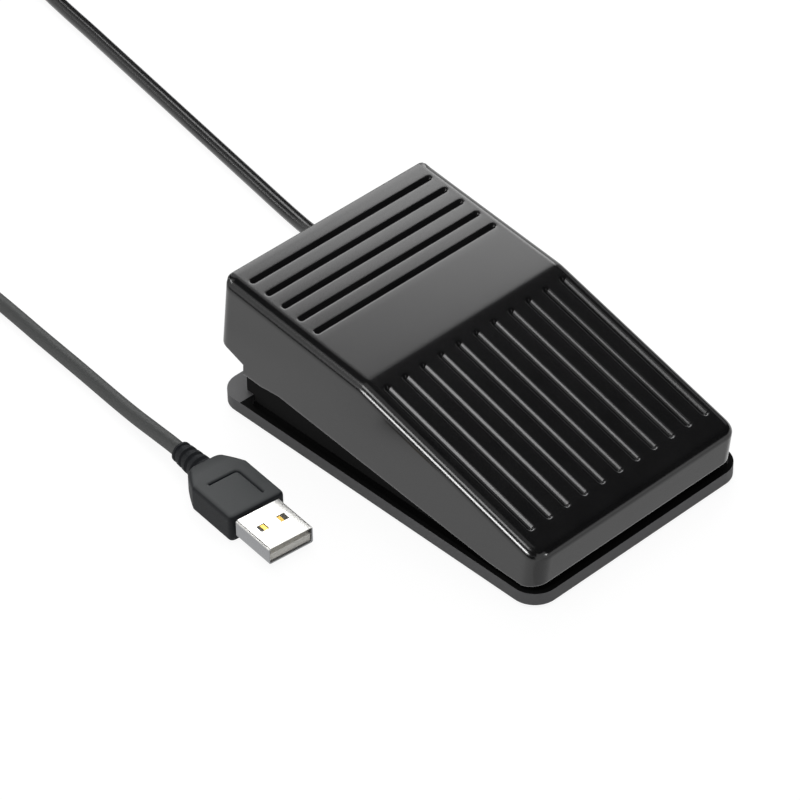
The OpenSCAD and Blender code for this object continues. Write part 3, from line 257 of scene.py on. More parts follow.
def add(tree, kind, inputs=None, **settings):
    """Adds one node: settings are its properties, inputs its socket values or the outputs that feed them."""
    node = tree.nodes.new("ShaderNode" + kind)
    for name, value in settings.items():
        setattr(node, name, value)
    for name, value in (inputs or {}).items():
        if isinstance(value, bpy.types.NodeSocket):
            tree.links.new(value, node.inputs[name])
        else:
            node.inputs[name].default_value = value
    return node


def blank(name):
    """A new material with an empty node tree, and that tree."""
    material = bpy.data.materials.new(name)
    material.use_nodes = True
    material.node_tree.nodes.clear()
    return material, material.node_tree


def textured(name):
    """A new material, its node tree, and the point's place in its object, whole and split into X, Y and Z."""
    material, tree = blank(name)
    place = add(tree, "TexCoord").outputs["Object"]
    return material, tree, place, add(tree, "SeparateXYZ", {"Vector": place}).outputs


def noise(tree, place, grain_mm, detail=2.0):
    """Soft noise with a grain of so many millimetres."""
    return add(tree, "TexNoise", {"Vector": place, "Scale": 1 / (grain_mm * MM), "Detail": detail}).outputs[0]


def maths(tree, operation, *values):
    """What one math node makes of its values."""
    return add(tree, "Math", dict(enumerate(values)), operation=operation).outputs[0]


def spread(tree, value, low, high, start=0.0, end=1.0):
    """A value's place between two limits, drawn out over another pair and held there."""
    return add(tree, "MapRange", {"Value": value, "From Min": start, "From Max": end,
                                  "To Min": low, "To Max": high}).outputs[0]


def between(tree, share, *ends):
    """A colour part of the way between two, each a linear colour or a node's output."""
    first, second = (end if isinstance(end, bpy.types.NodeSocket) else (*end, 1) for end in ends)
    return add(tree, "Mix", {0: share, 6: first, 7: second}, data_type="RGBA").outputs[2]


def surface(tree, tint, roughness, height=None, rise_mm=0.0, **more):
    """Ends a finish: its colour, its roughness, a height that tilts its normals, and its constants."""
    inputs = {"Base Color": tint, "Roughness": roughness}
    inputs.update({name.replace("_", " "): value for name, value in more.items()})
    if height is not None:
        bump = add(tree, "Bump", {"Height": height, "Distance": rise_mm * MM, "Strength": 1.0})
        inputs["Normal"] = bump.outputs[0]
    output(tree, add(tree, "BsdfPrincipled", inputs))


def output(tree, shader):
    """Joins the last shader to the material's output."""
    add(tree, "OutputMaterial", {"Surface": shader.outputs[0]})


def grained(name, dark, light, grain_mm, rough, rise_mm, metallic=0.0, stretch=(1, 1, 1), flanks=None,
            shine=0.5):
    """A finish that drifts between two colours over 9 mm, with roughness and height on a finer grain. Painted
    flank shade, where given, is another colour painted as shade below a height above the floor, and the
    height where it has passed."""
    material, tree, place, at = textured(name)
    along = add(tree, "Mapping", {"Vector": place, "Scale": stretch}).outputs["Vector"]
    fine = noise(tree, along, grain_mm, 3.0)
    tint = between(tree, noise(tree, place, 9.0), dark, light)
    if flanks:
        # Painted shade: a darker colour below the first height, blending into the finish by the second
        shade_colour, low_mm, high_mm = flanks
        tint = between(tree, spread(tree, at["Z"], 0, 1, low_mm * MM, high_mm * MM), shade_colour, tint)
    surface(tree, tint, spread(tree, fine, *rough, 0.3, 0.7), fine, rise_mm,
            Metallic=metallic, Specular_IOR_Level=shine)
    return material


def lighter(rgb, share):
    """A linear colour moved towards white by a share."""
    return tuple(c + (1 - c) * share for c in rgb)


def cord_jacket(far, near):
    """PVC cord jacket: glossy black behind the pedal, dull grey on the run to the plug, faintly grained."""
    material, tree, place, at = textured("cord PVC")
    dull = spread(tree, at["X"], 0, 1, -6 * MM, -30 * MM)
    # Jackets have a finer grain; 0.4 mm is as fine as still shows here
    grain = noise(tree, place, 0.4)
    roughness = maths(tree, "MULTIPLY_ADD", grain, 0.12, spread(tree, dull, 0.2, 0.55))
    surface(tree, between(tree, dull, far, near), roughness, grain, 0.01, IOR=1.52)
    return material


def base_plastic(rim):
    """The base's ABS, from a spark-eroded tool: dull dark grey with a fine skin on the outside and the rear
    deck, with painted shade: near black from the rim's top inwards, where the pedal shades it."""
    material, tree, place, at = textured("satin ABS")
    # How far out from the base's corner centres, which its outer face runs a corner's radius from
    aside = place
    for operation, inputs in (("ABSOLUTE", {}), ("SUBTRACT", {1: (BASE_X * MM, BASE_Y * MM, 1.0)}),
                              ("MAXIMUM", {1: (0, 0, 0)})):
        aside = add(tree, "VectorMath", {0: aside, **inputs}, operation=operation).outputs[0]
    aside = add(tree, "VectorMath", {0: aside}, operation="LENGTH").outputs["Value"]
    # Painted shade: the tray with its rim's top, up to the deck, and all that stands above the rim are
    # painted near black, as the shade under the pedal
    hair = 0.05
    inside = maths(tree, "LESS_THAN", aside, (BASE_ROUND - hair) * MM)
    raised = maths(tree, "GREATER_THAN", at["Z"], (TRAY_Z - hair) * MM)
    ahead = maths(tree, "LESS_THAN", at["Y"], (DECK_Y + hair) * MM)
    tall = maths(tree, "GREATER_THAN", at["Z"], (RIM_Z + hair) * MM)
    painted_shade = maths(tree, "MAXIMUM", maths(tree, "MULTIPLY", raised, ahead), tall)
    painted_shade = maths(tree, "MULTIPLY", painted_shade, inside)
    skin = noise(tree, place, 0.3, 3.0)
    tint = between(tree, skin, rim, lighter(rim, 0.03))
    # The painted shade: near black where the pedal shades the base
    tint = between(tree, painted_shade, tint, linear("#080808"))
    surface(tree, tint, spread(tree, painted_shade, 0.55, 0.95), skin, 0.008, Specular_IOR_Level=0.12)
    return material


def woven_strap():
    """Hook and loop strap: black cloth of crossing ribs 1 mm apart, with no gloss."""
    material, tree, place, _ = textured("woven polyamide strap")
    # A wave texture has 20 ribs in every 2 pi of its scaled place
    scale = 2 * math.pi / 20 / (0.99 * MM)
    ribs = [add(tree, "TexWave", {"Vector": place, "Scale": scale, "Distortion": 0.6},
                bands_direction=way).outputs["Fac"] for way in ("X", "Z")]
    weave = maths(tree, "MULTIPLY", *ribs)
    tint = between(tree, weave, linear("#131314"), linear("#2c2c2e"))
    surface(tree, tint, 0.85, weave, 0.12, Sheen_Weight=0.2)
    return material


def circuit_board():
    """Green solder resist over copper: the tracks show as paler bands on a 1.2 mm grid."""
    material, tree, place, _ = textured("solder resist on glass laminate")
    black, white = (0, 0, 0, 1), (1, 1, 1, 1)
    cells = add(tree, "TexBrick", {
        "Vector": place, "Scale": 1 / (1.2 * MM), "Mortar Size": 0.16, "Brick Width": 3.0, "Row Height": 1.0,
        "Color1": black, "Color2": black, "Mortar": white}).outputs
    tint = between(tree, cells["Color"], linear("#0e4a2b"), linear("#2a7a4a"))
    surface(tree, tint, 0.32, cells["Fac"], 0.03)
    return material


def wire_insulation():
    """Coloured wire jackets, red, white, green and black by their place across the pedal, slightly glossy."""
    material, tree, place, at = textured("wire PVC")
    bands = add(tree, "ValToRGB", {"Fac": spread(tree, at["X"], 0, 1, 15.5 * MM, 20.5 * MM)})
    ramp = bands.color_ramp
    ramp.interpolation = "CONSTANT"
    ramp.elements.remove(ramp.elements[1])
    ramp.elements[0].color = (*linear("#a3201c"), 1)
    for start, tone in ((0.25, "#e2e2dd"), (0.5, "#1f7a3f"), (0.75, "#1a1a1b")):
        ramp.elements.new(start).color = (*linear(tone), 1)
    surface(tree, bands.outputs[0], spread(tree, noise(tree, place, 0.3), 0.3, 0.5))
    return material


# Finishes of fixed colours, by slot: name, two colours, grain, least and most roughness, rise, metallic
PLAIN_FINISHES = {
    # Glass-filled thermoset: hard and dull black
    "switch_body": ("moulded phenolic", "#1c1c1d", "#2a2a2b", 0.3, (0.45, 0.6), 0.01, 0.0),
    # Acetal button: slightly waxy red
    "plunger_plastic": ("moulded acetal", "#a3201c", "#b52a22", 0.4, (0.3, 0.4), 0.004, 0.0),
    # Stamped brass with a thin plating: warm and bright
    "brass": ("stamped brass", "#c9a24a", "#dcbc6c", 0.3, (0.2, 0.34), 0.003, 1.0),
    # Transfer-moulded resin: matt black with a fine sandy skin
    "chip_resin": ("moulding resin", "#161617", "#262627", 0.15, (0.5, 0.65), 0.01, 0.0),
    # Drawn can: a near mirror with a soft haze
    "crystal_can": ("nickel-plated can", "#d2d4d6", "#e2e3e4", 0.4, (0.12, 0.22), 0.002, 1.0),
    # Shrunk sleeve: smooth deep blue
    "capacitor_sleeve": ("shrunk PVC sleeve", "#14224a", "#1b2c5c", 0.5, (0.22, 0.32), 0.004, 0.0),
    # Unfilled nylon: milky white, faintly waxy
    "nylon": ("moulded nylon", "#e4e2da", "#efede6", 0.5, (0.4, 0.5), 0.006, 0.0),
}


def make_finishes(tones):
    """One material for each of the record's slots, named for what the real surface is."""
    made = {slot: grained(name, linear(dark), linear(light), *rest)
            for slot, (name, dark, light, *rest) in PLAIN_FINISHES.items()}

    def toned(name, tone, share, *rest, **more):
        """A finish between a colour and a lighter one."""
        return grained(name, tone, lighter(tone, share), *rest, **more)

    # Moulded in a polished tool: black with a broad soft gloss and a trace of flow
    made["pedal_abs"] = toned("semi-gloss ABS", tones.cover, 0.006, 0.35, (0.16, 0.21), 0.0004)
    made["base_abs"] = base_plastic(tones.base)
    # Cast rubber takes dust, so it is dull and a little uneven
    made["rubber"] = toned("cast rubber", tones.rubber, 0.03, 0.4, (0.7, 0.85), 0.02)
    # Zinc plating over drawn steel: bright, with fine lines along the piece
    made["steel"] = toned("zinc-plated steel", tones.steel, 0.2, 0.2, (0.22, 0.38), 0.003, 1.0, (0.15, 1, 1))
    # Drawn wire: greyer than plating, with die lines
    made["spring_steel"] = toned("drawn spring wire", tones.spring, 0.2, 0.2, (0.25, 0.4), 0.004, 1.0,
                                 (1, 1, 0.3))
    made["circuit_board"] = circuit_board()
    made["wire_jacket"] = wire_insulation()
    made["cord_pvc"] = cord_jacket(tones.cord_far, tones.cord_near)
    made["tie_strap"] = woven_strap()
    # Soft overmould with a fine spark-eroded skin: dull dark grey on top, with painted shade: near black down
    # its flanks and in the line sunk into it
    made["plug_pvc"] = toned("overmoulded PVC", tones.plug, 0.015, 0.25, (0.55, 0.7), 0.012,
                             flanks=(tones.plug_flank_shade, 6.8, 7.1), shine=0.2)
    # Nickel over pressed steel: pale and bright on top, with painted shade: a darker grey down the bent
    # flanks
    made["plug_shell"] = toned("nickel-plated steel", tones.shell, 0.3, 0.6, (0.26, 0.34), 0.002, 1.0,
                               flanks=(tones.shell_flank_shade, 5.3, 5.7))
    return made


def points_of(*axes):
    """Points from arrays of their coordinates, each spread over the others."""
    return np.stack(np.broadcast_arrays(*axes), axis=-1)


def circle(count):
    """Angles evenly round a circle."""
    return np.linspace(0, 2 * np.pi, count, endpoint=False)


def unit(ways):
    """Directions drawn to length 1."""
    return ways / np.linalg.norm(ways, axis=-1, keepdims=True)


def spun(x, y, angle):
    """Two coordinates turned by an angle."""
    cos, sin = math.cos(angle), math.sin(angle)
    return x * cos - y * sin, x * sin + y * cos


def placed(name, data):
    """A new object in the scene."""
    made = bpy.data.objects.new(name, data)
    bpy.context.scene.collection.objects.link(made)
    return made


def grid_quads(rows, columns, close_rows=False, close_columns=False, first=0):
    """Corner numbers of a grid's quads, for points listed row by row."""
    r = np.arange(rows if close_rows else rows - 1)[:, None]
    c = np.arange(columns if close_columns else columns - 1)[None, :]
    r_next, c_next = (r + 1) % rows, (c + 1) % columns
    corners = [r * columns + c, r * columns + c_next, r_next * columns + c_next, r_next * columns + c]
    return (np.stack(corners, axis=-1).reshape(-1, 4) + first).tolist()


def joined(*shapes):
    """Several shapes, each its points and faces, as one."""
    starts = np.cumsum([0] + [len(points) for points, _ in shapes[:-1]]).tolist()
    faces = [[corner + start for corner in face] for (_, own), start in zip(shapes, starts) for face in own]
    return np.concatenate([points for points, _ in shapes]), faces


def make_piece(name, shape, body, slot, replaced=()):
    """A smooth mesh object from points in millimetres, its seams merged and its faces turned outwards."""
    points, faces = shape
    mesh = bpy.data.meshes.new(name)
    mesh.from_pydata((points * MM).tolist(), [], faces)
    work = bmesh.new()
    work.from_mesh(mesh)
    bmesh.ops.remove_doubles(work, verts=work.verts, dist=1e-6)
    bmesh.ops.recalc_face_normals(work, faces=work.faces)
    work.to_mesh(mesh)
    work.free()
    mesh.shade_smooth()
    mesh.set_sharp_from_angle(angle=math.radians(40))
    mesh.materials.append(FINISHES[slot])
    made = placed(name, mesh)
    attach(made, body)
    if replaced:
        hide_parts(*replaced)
    return made


def ring_rows(rows, close_rows=False):
    """Closed loops of points, one per row, as a skin: each loop is joined to the next, and the end loops are
    capped or joined too."""
    count, around = rows.shape[:2]
    faces = grid_quads(count, around, close_rows, True)
    if not close_rows:
        faces += [list(range(around)), list(range((count - 1) * around, count * around))]
    return rows.reshape(-1, 3), faces


def turned(profile, x, y, sides=40):
    """A profile of radius and height, carried round an upright axis at x, y."""
    radius, height = np.array(profile, float).T[..., None]
    angle = circle(sides)
    return ring_rows(points_of(x + radius * np.cos(angle), y + radius * np.sin(angle), height))


def rounded_loop(half_w, half_h, radius, arc=6, straight=1):
    """Points round a rectangle with round corners, for arrays of half widths and heights: four quarter
    circles joined by straights that are split into equal steps."""
    quarter = np.linspace(0, np.pi / 2, arc)
    loops = []
    for turn, sx, sz in ((0, 1, 1), (1, -1, 1), (2, -1, -1), (3, 1, -1)):
        angle = quarter + turn * np.pi / 2
        loops.append(points_of(sx * (half_w - radius)[:, None] + radius[:, None] * np.cos(angle),
                               sz * (half_h - radius)[:, None] + radius[:, None] * np.sin(angle)))
    steps = np.arange(1, straight)[None, :, None] / straight
    parts = []
    for here, after in zip(loops, loops[1:] + loops[:1]):
        parts += [here, here[:, -1:] + (after[:, :1] - here[:, -1:]) * steps]
    return np.concatenate(parts, axis=1)


def block(x0, x1, y0, y1, z0, z1, radius=0.3):
    """An upright bar of rounded rectangular section whose foot is slightly rounded too."""
    heights = np.array([z0, z0 + 0.3 * radius, z0 + radius, z1])
    shrink = np.array([radius, 0.3 * radius, 0.0, 0.0])
    loop = rounded_loop((x1 - x0) / 2 - shrink, (y1 - y0) / 2 - shrink, np.full(4, radius) - 0.9 * shrink, 4)
    centre = np.array([(x0 + x1) / 2, (y0 + y1) / 2])
    up = np.broadcast_to(heights[:, None, None], (*loop.shape[:2], 1))
    return ring_rows(np.concatenate([loop + centre, up], axis=-1))


def swept(path, radius, sides=12):
    """A round tube along a path: each ring stands square to the path, its first spoke level."""
    ahead = unit(np.gradient(path, axis=0))
    level = unit(np.cross(ahead, [0, 0, 1]))
    rising = np.cross(level, ahead)
    angle = circle(sides)[:, None]
    spokes = np.cos(angle) * level[:, None] + np.sin(angle) * rising[:, None]
    return ring_rows(path[:, None] + radius * spokes)


def through(points, steps):
    """A smooth line through points: a cubic between each pair whose ends head along their neighbours."""
    p = np.array(points, float)
    p = np.concatenate([2 * p[:1] - p[1:2], p, 2 * p[-1:] - p[-2:-1]])
    t = (np.arange(steps) / steps)[None, :, None]
    a, b, c, d = (p[i:len(p) - 3 + i, None] for i in range(4))
    line = b + 0.5 * ((c - a) * t + (2 * a - 5 * b + 4 * c - d) * t ** 2 + (3 * b - a - 3 * c + d) * t ** 3)
    return np.concatenate([line.reshape(-1, 3), p[-2:-1]])


def groove_share(distance, half):
    """How deep a groove is at a distance from its middle, from 1 to 0: a V whose bottom and lips are a little
    rounded."""
    blunt, soft = 0.1, 0.025
    x = np.sqrt(distance ** 2 + (blunt * half) ** 2) / half
    sunk = ((1 - x) + np.sqrt((1 - x) ** 2 + soft)) / 2
    bottom = ((1 - blunt) + math.sqrt((1 - blunt) ** 2 + soft)) / 2
    return sunk / bottom


def beyond(value, low, high):
    """How far a value lies outside a stretch, 0 within it."""
    return np.maximum(np.maximum(low - value, value - high), 0)


def crown(y, bend):
    """Height of the tread over the hinge: level behind the break, falling evenly before it, bent softly."""
    ahead = COVER_BREAK - y
    return COVER_TOP - math.tan(COVER_SLOPE) * (ahead + np.sqrt(ahead ** 2 + bend ** 2)) / 2


def skirt(x, y, rise=0.0):
    """Height of the cover's lower edge, raised a little if need be: it hangs lower to the rear, steps up at
    the notch, and arches over the cord."""
    low = COVER_LOW - np.interp(y, SKIRT_AT, SKIRT_FALL) + rise
    arch = np.sqrt(np.clip(1 - ((x - ARCH_X) / ARCH_HALF) ** 2, 0, 1))
    return low + np.where(y > COVER_REAR - 1, ARCH_RISE * np.minimum(1, 1.6 * arch), 0)


def grid_lines(low, high, centres, half, extra, spacing=2.0):
    """Places of grid lines: a fan over each groove so that its lips come out round, others evenly."""
    fan = half * np.array([0, 0.2, 0.45, 0.7, 0.88, 1.0, 1.12, 1.4])
    fans = np.add.outer(centres, [*fan, *-fan]).ravel()
    lines = np.concatenate([fans, *extra, np.arange(low, high, spacing)])
    margin, least = 0.06, 0.07
    lines = np.sort(lines[(lines > low + margin) & (lines < high - margin)])
    lines = lines[np.concatenate([[True], np.diff(lines) > least])]
    return np.concatenate([[low], lines, [high]])


def groove_depth(x, y, sizes):
    """How far the grooves lower the tread, those across its level part or those down its slope."""
    cross, down = in_mm(sizes, "cross_depth", "long_depth")
    half_cross, half_down = np.array(in_mm(sizes, "cross_width", "long_width")) / 2
    aside = beyond(x, half_cross - CROSS_REACH, CROSS_REACH - half_cross)
    to_cross = np.hypot(aside[..., None], y[..., None] - CROSS_GROOVES).min(axis=-1)
    past = beyond(y, LONG_FROM + half_down, LONG_TO - half_down)
    to_down = np.hypot(x[..., None] - LONG_GROOVES, past[..., None]).min(axis=-1)
    # The far tail of the lips' rounding is cut off, so that the tread between grooves stays flat
    tail = 0.004
    return np.maximum(cross * np.maximum(groove_share(to_cross, half_cross) - tail, 0),
                      down * np.maximum(groove_share(to_down, half_down) - tail, 0))


def at_rest(points):
    """Points of the cover's level frame, turned by the rest tilt about the hinge axis."""
    x, y, z = points.T
    y, z = spun(y, z, REST_TILT)
    return points_of(x, HINGE_Y + y, HINGE_Z + z)


def cover_skin(sizes):
    """The cover as one closed skin. Its tread is a grid over a rectangle whose corners are drawn round,
    lowered by the grooves. Its rim is a profile carried round the tread: edge round, wall, lower lip, inner
    wall, ceiling."""
    side, inset, rear, wall, lip, bend, corner, rear_corner, long_width = in_mm(
        sizes, "side_round", "front_round", "rear_round", "wall", "lip_round", "break_round", "corner_round",
        "rear_corner", "long_width")
    corner, rear_corner = corner - inset, rear_corner - inset
    half_x = COVER_HALF - inset
    middle = (COVER_FRONT + COVER_REAR) / 2
    half_y = (COVER_REAR - COVER_FRONT) / 2 - inset
    front, back = middle - half_y, middle + half_y

    ease = corner * np.linspace(0, 1, 9)
    xs = grid_lines(-half_x, half_x, [*LONG_GROOVES, -CROSS_REACH, CROSS_REACH], long_width / 2,
                    [ARCH_X + ARCH_HALF * np.linspace(-1, 1, 15), half_x - ease, ease - half_x])
    ys = grid_lines(front, back, [*CROSS_GROOVES, LONG_FROM, LONG_TO], long_width / 2,
                    [SKIRT_AT, COVER_BREAK + bend * np.linspace(-2, 2, 9),
                     back - rear_corner * np.linspace(0, 1, 4), front + corner * np.linspace(0, 1, 6)])
    grid = np.stack(np.meshgrid(xs, ys - middle), axis=-1)
    round_here = np.where(grid[..., 1:] > 0, rear_corner, corner)
    core = np.array([half_x, half_y]) - round_here
    nearest = np.clip(grid, -core, core)
    reach = grid - nearest
    square = np.abs(reach).max(axis=-1, keepdims=True)
    outward = reach / np.maximum(np.linalg.norm(reach, axis=-1, keepdims=True), 1e-9)
    plan = nearest + outward * square + [0, middle]

    x, y = plan[..., 0], plan[..., 1]
    # The grooves' lips fade out on the last stretch before the rim's rear and sides
    fade = 0.5
    inside = np.clip((back - y) / fade, 0, 1) * np.clip((half_x - np.abs(x)) / fade, 0, 1)
    # The side round begins on the tread, where it falls away as a circle
    fall = side - np.sqrt(side ** 2 - np.maximum(np.abs(x) - COVER_HALF + side, 0) ** 2)
    height = crown(y, bend) - fall - groove_depth(x, y, sizes) * inside
    tread = np.concatenate([plan, height[..., None]], axis=-1)

    rows, columns = len(ys), len(xs)
    number = np.arange(rows * columns).reshape(rows, columns)
    loop = np.concatenate([number[0], number[1:, -1], number[-1, -2::-1], number[-2:0:-1, 0]])
    start, away = plan.reshape(-1, 2)[loop], outward.reshape(-1, 2)[loop]
    outline = (start + away * inset).T
    # The edge round goes on from the angle that the tread has reached, with the radius that ends it at the
    # wall, and is smaller where the rim faces the rear
    bent = np.maximum(np.abs(start[:, 0]) - COVER_HALF + side, 0)
    lean = np.arctan(bent / np.sqrt(side ** 2 - bent ** 2) * np.abs(away[:, 0]))
    soft = inset / (1 - np.sin(lean))
    soft += (rear - soft) * np.maximum(away[:, 1], 0) ** 2
    begun = np.arcsin(np.maximum(soft - inset, 0) / soft)
    begun_fall = fall.ravel()[loop]
    drop = begun_fall + soft * np.cos(begun)
    rim = []

    def rim_row(offset, height):
        """Adds a row of the rim: how far out it stands from the tread's edge, and its height by place."""
        at = start + away * np.broadcast_to(offset, len(start))[:, None]
        rim.append(np.concatenate([at, height(at[:, 0], at[:, 1])[:, None]], axis=1))

    rim_row(0.0, lambda x, y: crown(y, bend) - begun_fall)
    for share in np.linspace(0, 1, 11):
        turn = begun + (np.pi / 2 - begun) * share
        rim_row(inset - soft * (1 - np.sin(turn)), lambda x, y: crown(y, bend) - drop + soft * np.cos(turn))
    for share in (0.03, 0.25, 0.5, 0.75, 0.97):
        rim_row(inset, lambda x, y: (crown(y, bend) - drop) * (1 - share) + skirt(x, y, lip) * share)
    for turn in np.linspace(0, np.pi / 2, 5):
        rim_row(inset - lip * (1 - math.cos(turn)), lambda x, y: skirt(x, y, lip * (1 - math.sin(turn))))
    rim_row(inset - wall + 0.5 * lip, lambda x, y: skirt(*outline))
    rim_row(inset - wall, lambda x, y: skirt(*outline, 0.5 * lip))
    rim_row(inset - wall, lambda x, y: crown(y, bend) - wall - 1)
    rim_row(inset - wall, lambda x, y: crown(y, bend) - wall)

    first = rows * columns
    around = len(loop)
    top = first + (len(rim) - 1) * around
    left = (around - np.arange(rows)) % around
    right = columns - 1 + np.arange(rows)
    ceiling = np.stack([left[:-1], left[1:], right[1:], right[:-1]], axis=1) + top
    faces = grid_quads(rows, columns) + grid_quads(len(rim), around, False, True, first) + ceiling.tolist()
    # The ceiling's front and rear ends, each one face along the loop
    faces += [(np.arange(columns) + begin + top).tolist() for begin in (0, columns + rows - 2)]
    return at_rest(np.concatenate([tread.reshape(-1, 3), *rim])), faces


def cover_inside():
    """What the cover carries inside: hinge ears, stop feet, spring seat and peg, catch hooks, switch rib."""
    axis, ease, peg_ease = 0.01, 0.3, 0.4
    cos, sin = np.cos(circle(48)), np.sin(circle(48))
    # An ear's outline: round below the pin, straight-sided up to the ceiling
    straight = np.minimum(EAR_R / np.maximum(np.abs(cos), 1e-6), EAR_TOP / np.maximum(sin, 1e-6))
    reach = np.where(sin > 0, straight, EAR_R)
    shapes = []
    for x0, x1 in ((EAR_IN, EAR_OUT), (-EAR_OUT, -EAR_IN)):
        rows = [points_of(x, HINGE_Y + r * cos, HINGE_Z + r * sin)
                for r, x in ((reach, x0), (reach, x1), (EAR_BORE, x1), (EAR_BORE, x0))]
        shapes.append(ring_rows(np.stack(rows), close_rows=True))
    for x in (-STOP_X, STOP_X):
        shapes.append(turned([(axis, STOP_LOW), (STOP_R - ease, STOP_LOW), (STOP_R, STOP_LOW + ease),
                              (STOP_R, STOP_TOP), (axis, STOP_TOP)], x, STOP_Y))
    shapes.append(turned([(axis, PEG_LOW), (PEG_R - peg_ease, PEG_LOW), (PEG_R, PEG_LOW + peg_ease),
                          (PEG_R, SEAT_LOW), (SEAT_R - ease, SEAT_LOW), (SEAT_R, SEAT_LOW + ease),
                          (SEAT_R, SEAT_TOP), (axis, SEAT_TOP)], SPRING_X, SPRING_Y))
    for x in (-HOOK_X, HOOK_X):
        shapes.append(block(x - HOOK_HALF, x + HOOK_HALF, *HOOK_STEM, HOOK_LOW, HOOK_TOP))
        shapes.append(block(x - HOOK_HALF, x + HOOK_HALF, *HOOK_TOE, HOOK_LOW, TOE_TOP, 0.25))
    shapes.append(block(*RIB_X, *RIB_Y, *RIB_Z))
    return joined(*shapes)


def spring_path(sizes):
    """Middle of the spring's wire: a helix whose end turns lie close, the others evenly spread."""
    steps = 36
    turn = np.linspace(0, SPRING_TURNS, SPRING_TURNS * steps + 1)
    low, high = SPRING_FOOT + SPRING_SEAT, SPRING_FOOT + SPRING_REST - SPRING_SEAT
    height = np.interp(turn, [0, 1, SPRING_TURNS - 1, SPRING_TURNS],
                       [low, low + SPRING_END_PITCH, high - SPRING_END_PITCH, high])
    radius, angle = sizes.middle / MM, 2 * np.pi * turn
    return points_of(SPRING_X + radius * np.cos(angle), SPRING_Y + radius * np.sin(angle), height)


def coil_path():
    """Middle of the coiled cord: flat spirals, in and out by turns, each a cord's pitch above the last, with
    a short climb between them."""
    per_layer = COIL_TURNS / COIL_LAYERS
    turn = np.linspace(0, COIL_TURNS, round(COIL_TURNS * COIL_STEPS) + 1)
    layer = np.minimum(np.floor(turn / per_layer), COIL_LAYERS - 1)
    along = np.minimum(turn - layer * per_layer, per_layer)
    radius = COIL_R - COIL_PITCH * np.where(layer % 2 == 0, along, per_layer - along)
    step = turn[:, None] - per_layer * np.arange(1, COIL_LAYERS)
    climb = 0.5
    height = COIL_Z + COIL_PITCH * np.clip(step / climb + 0.5, 0, 1).sum(axis=1)
    angle = np.pi / 2 + 2 * np.pi * turn
    return points_of(COIL_X + radius * np.cos(angle), COIL_Y + radius * np.sin(angle), height)


def at_plug(shape):
    """A shape of the plug's own frame, its tip at the origin, its cord along +Y, put where the plug lies."""
    points, faces = shape
    x, y, z = points.T
    return points_of(*spun(x, y, -PLUG_YAW), z) + PLUG_TIP, faces


def grip_skin(sizes):
    """The plug's grip: a rounded rectangle carried from the shell to the strain relief, narrowed over the
    shoulders and at both ends, with the line on its top sunk into it."""
    edge, mark_width, mark_depth = in_mm(sizes, "grip_round", "mark_width", "mark_depth")
    rounding = edge * (1 - np.cos(np.linspace(0, np.pi / 2, 6)))
    along = np.unique(np.concatenate([GRIP_FRONT + rounding, GRIP_REAR - rounding,
                                      np.linspace(GRIP_FRONT + edge, GRIP_REAR - edge, 110)]))
    at_end = np.minimum(along - GRIP_FRONT, GRIP_REAR - along)
    pinch = 0.7 * (edge - np.sqrt(np.maximum(edge ** 2 - np.maximum(edge - at_end, 0) ** 2, 0)))
    shoulder = np.clip((along - GRIP_REAR) / SHOULDER_L + 1, 0, 1)
    half_w = GRIP_HALF_W - SHOULDER_W * (shoulder * 0.75 + shoulder ** 2 * 0.25) - pinch
    half_h = GRIP_HALF_H - SHOULDER_H * shoulder - pinch
    loop = rounded_loop(half_w, half_h, edge + 0.5 * shoulder, 7, 60)
    x, y, z = np.broadcast_arrays(loop[..., 0], along[:, None], loop[..., 1])
    bend_x, bend_y = MARK_X - MARK_BEND, MARK_REAR - MARK_BEND
    length_bar = np.hypot(x - MARK_X, beyond(y, MARK_FRONT, bend_y))
    cross_bar = np.hypot(beyond(x, MARK_LEFT, bend_x), y - MARK_REAR)
    bend = np.abs(np.hypot(x - bend_x, y - bend_y) - MARK_BEND)
    away = np.minimum(length_bar, cross_bar)
    away = np.where((x > bend_x) & (y > bend_y), np.minimum(away, bend), away)
    sunk = groove_share(away, mark_width / 2) * (z > half_h[:, None] - 0.01)
    return at_plug(ring_rows(points_of(x, y, z - mark_depth * sunk)))


def relief_skin():
    """The strain relief: a taper cut by slits, its rib edges softened, turned round the cord."""
    along = np.linspace(0, 1, 133)
    taper = RELIEF_R + (RELIEF_END_R - RELIEF_R) * along
    # A slit takes about the middle half of each rib's pitch
    slit = np.clip((0.24 - np.abs(along * SLITS % 1 - 0.5)) / 0.07, 0, 1)
    radius = taper - (taper - SLIT_R) * slit
    # The end face runs in to the cord's hole
    radius[-1] = RELIEF_BORE
    radius, angle = radius[:, None], circle(40)
    # The whole relief is set a little into the grip
    reach = GRIP_REAR - 0.2 + along[:, None] * (RELIEF_REAR - GRIP_REAR)
    return at_plug(ring_rows(points_of(radius * np.cos(angle), reach, radius * np.sin(angle))))


def shell_loop(bend, inset):
    """The shell's section, set in from its outer face: four bends, and points on the flats at the windows."""
    arcs = []
    for turn, (sx, sz) in enumerate(((1, 1), (-1, 1), (-1, -1), (1, -1))):
        angle = np.linspace(turn, turn + 1, 6) * np.pi / 2
        arcs.append(points_of(sx * (SHELL_HALF_W - bend) + (bend - inset) * np.cos(angle),
                              sz * (SHELL_HALF_H - bend) + (bend - inset) * np.sin(angle)))
    sides = [WINDOW_OUT, WINDOW_IN, -WINDOW_IN, -WINDOW_OUT]
    top = points_of(sides, SHELL_HALF_H - inset)
    return np.concatenate([arcs[0], top, arcs[1], arcs[2], -top, arcs[3]])


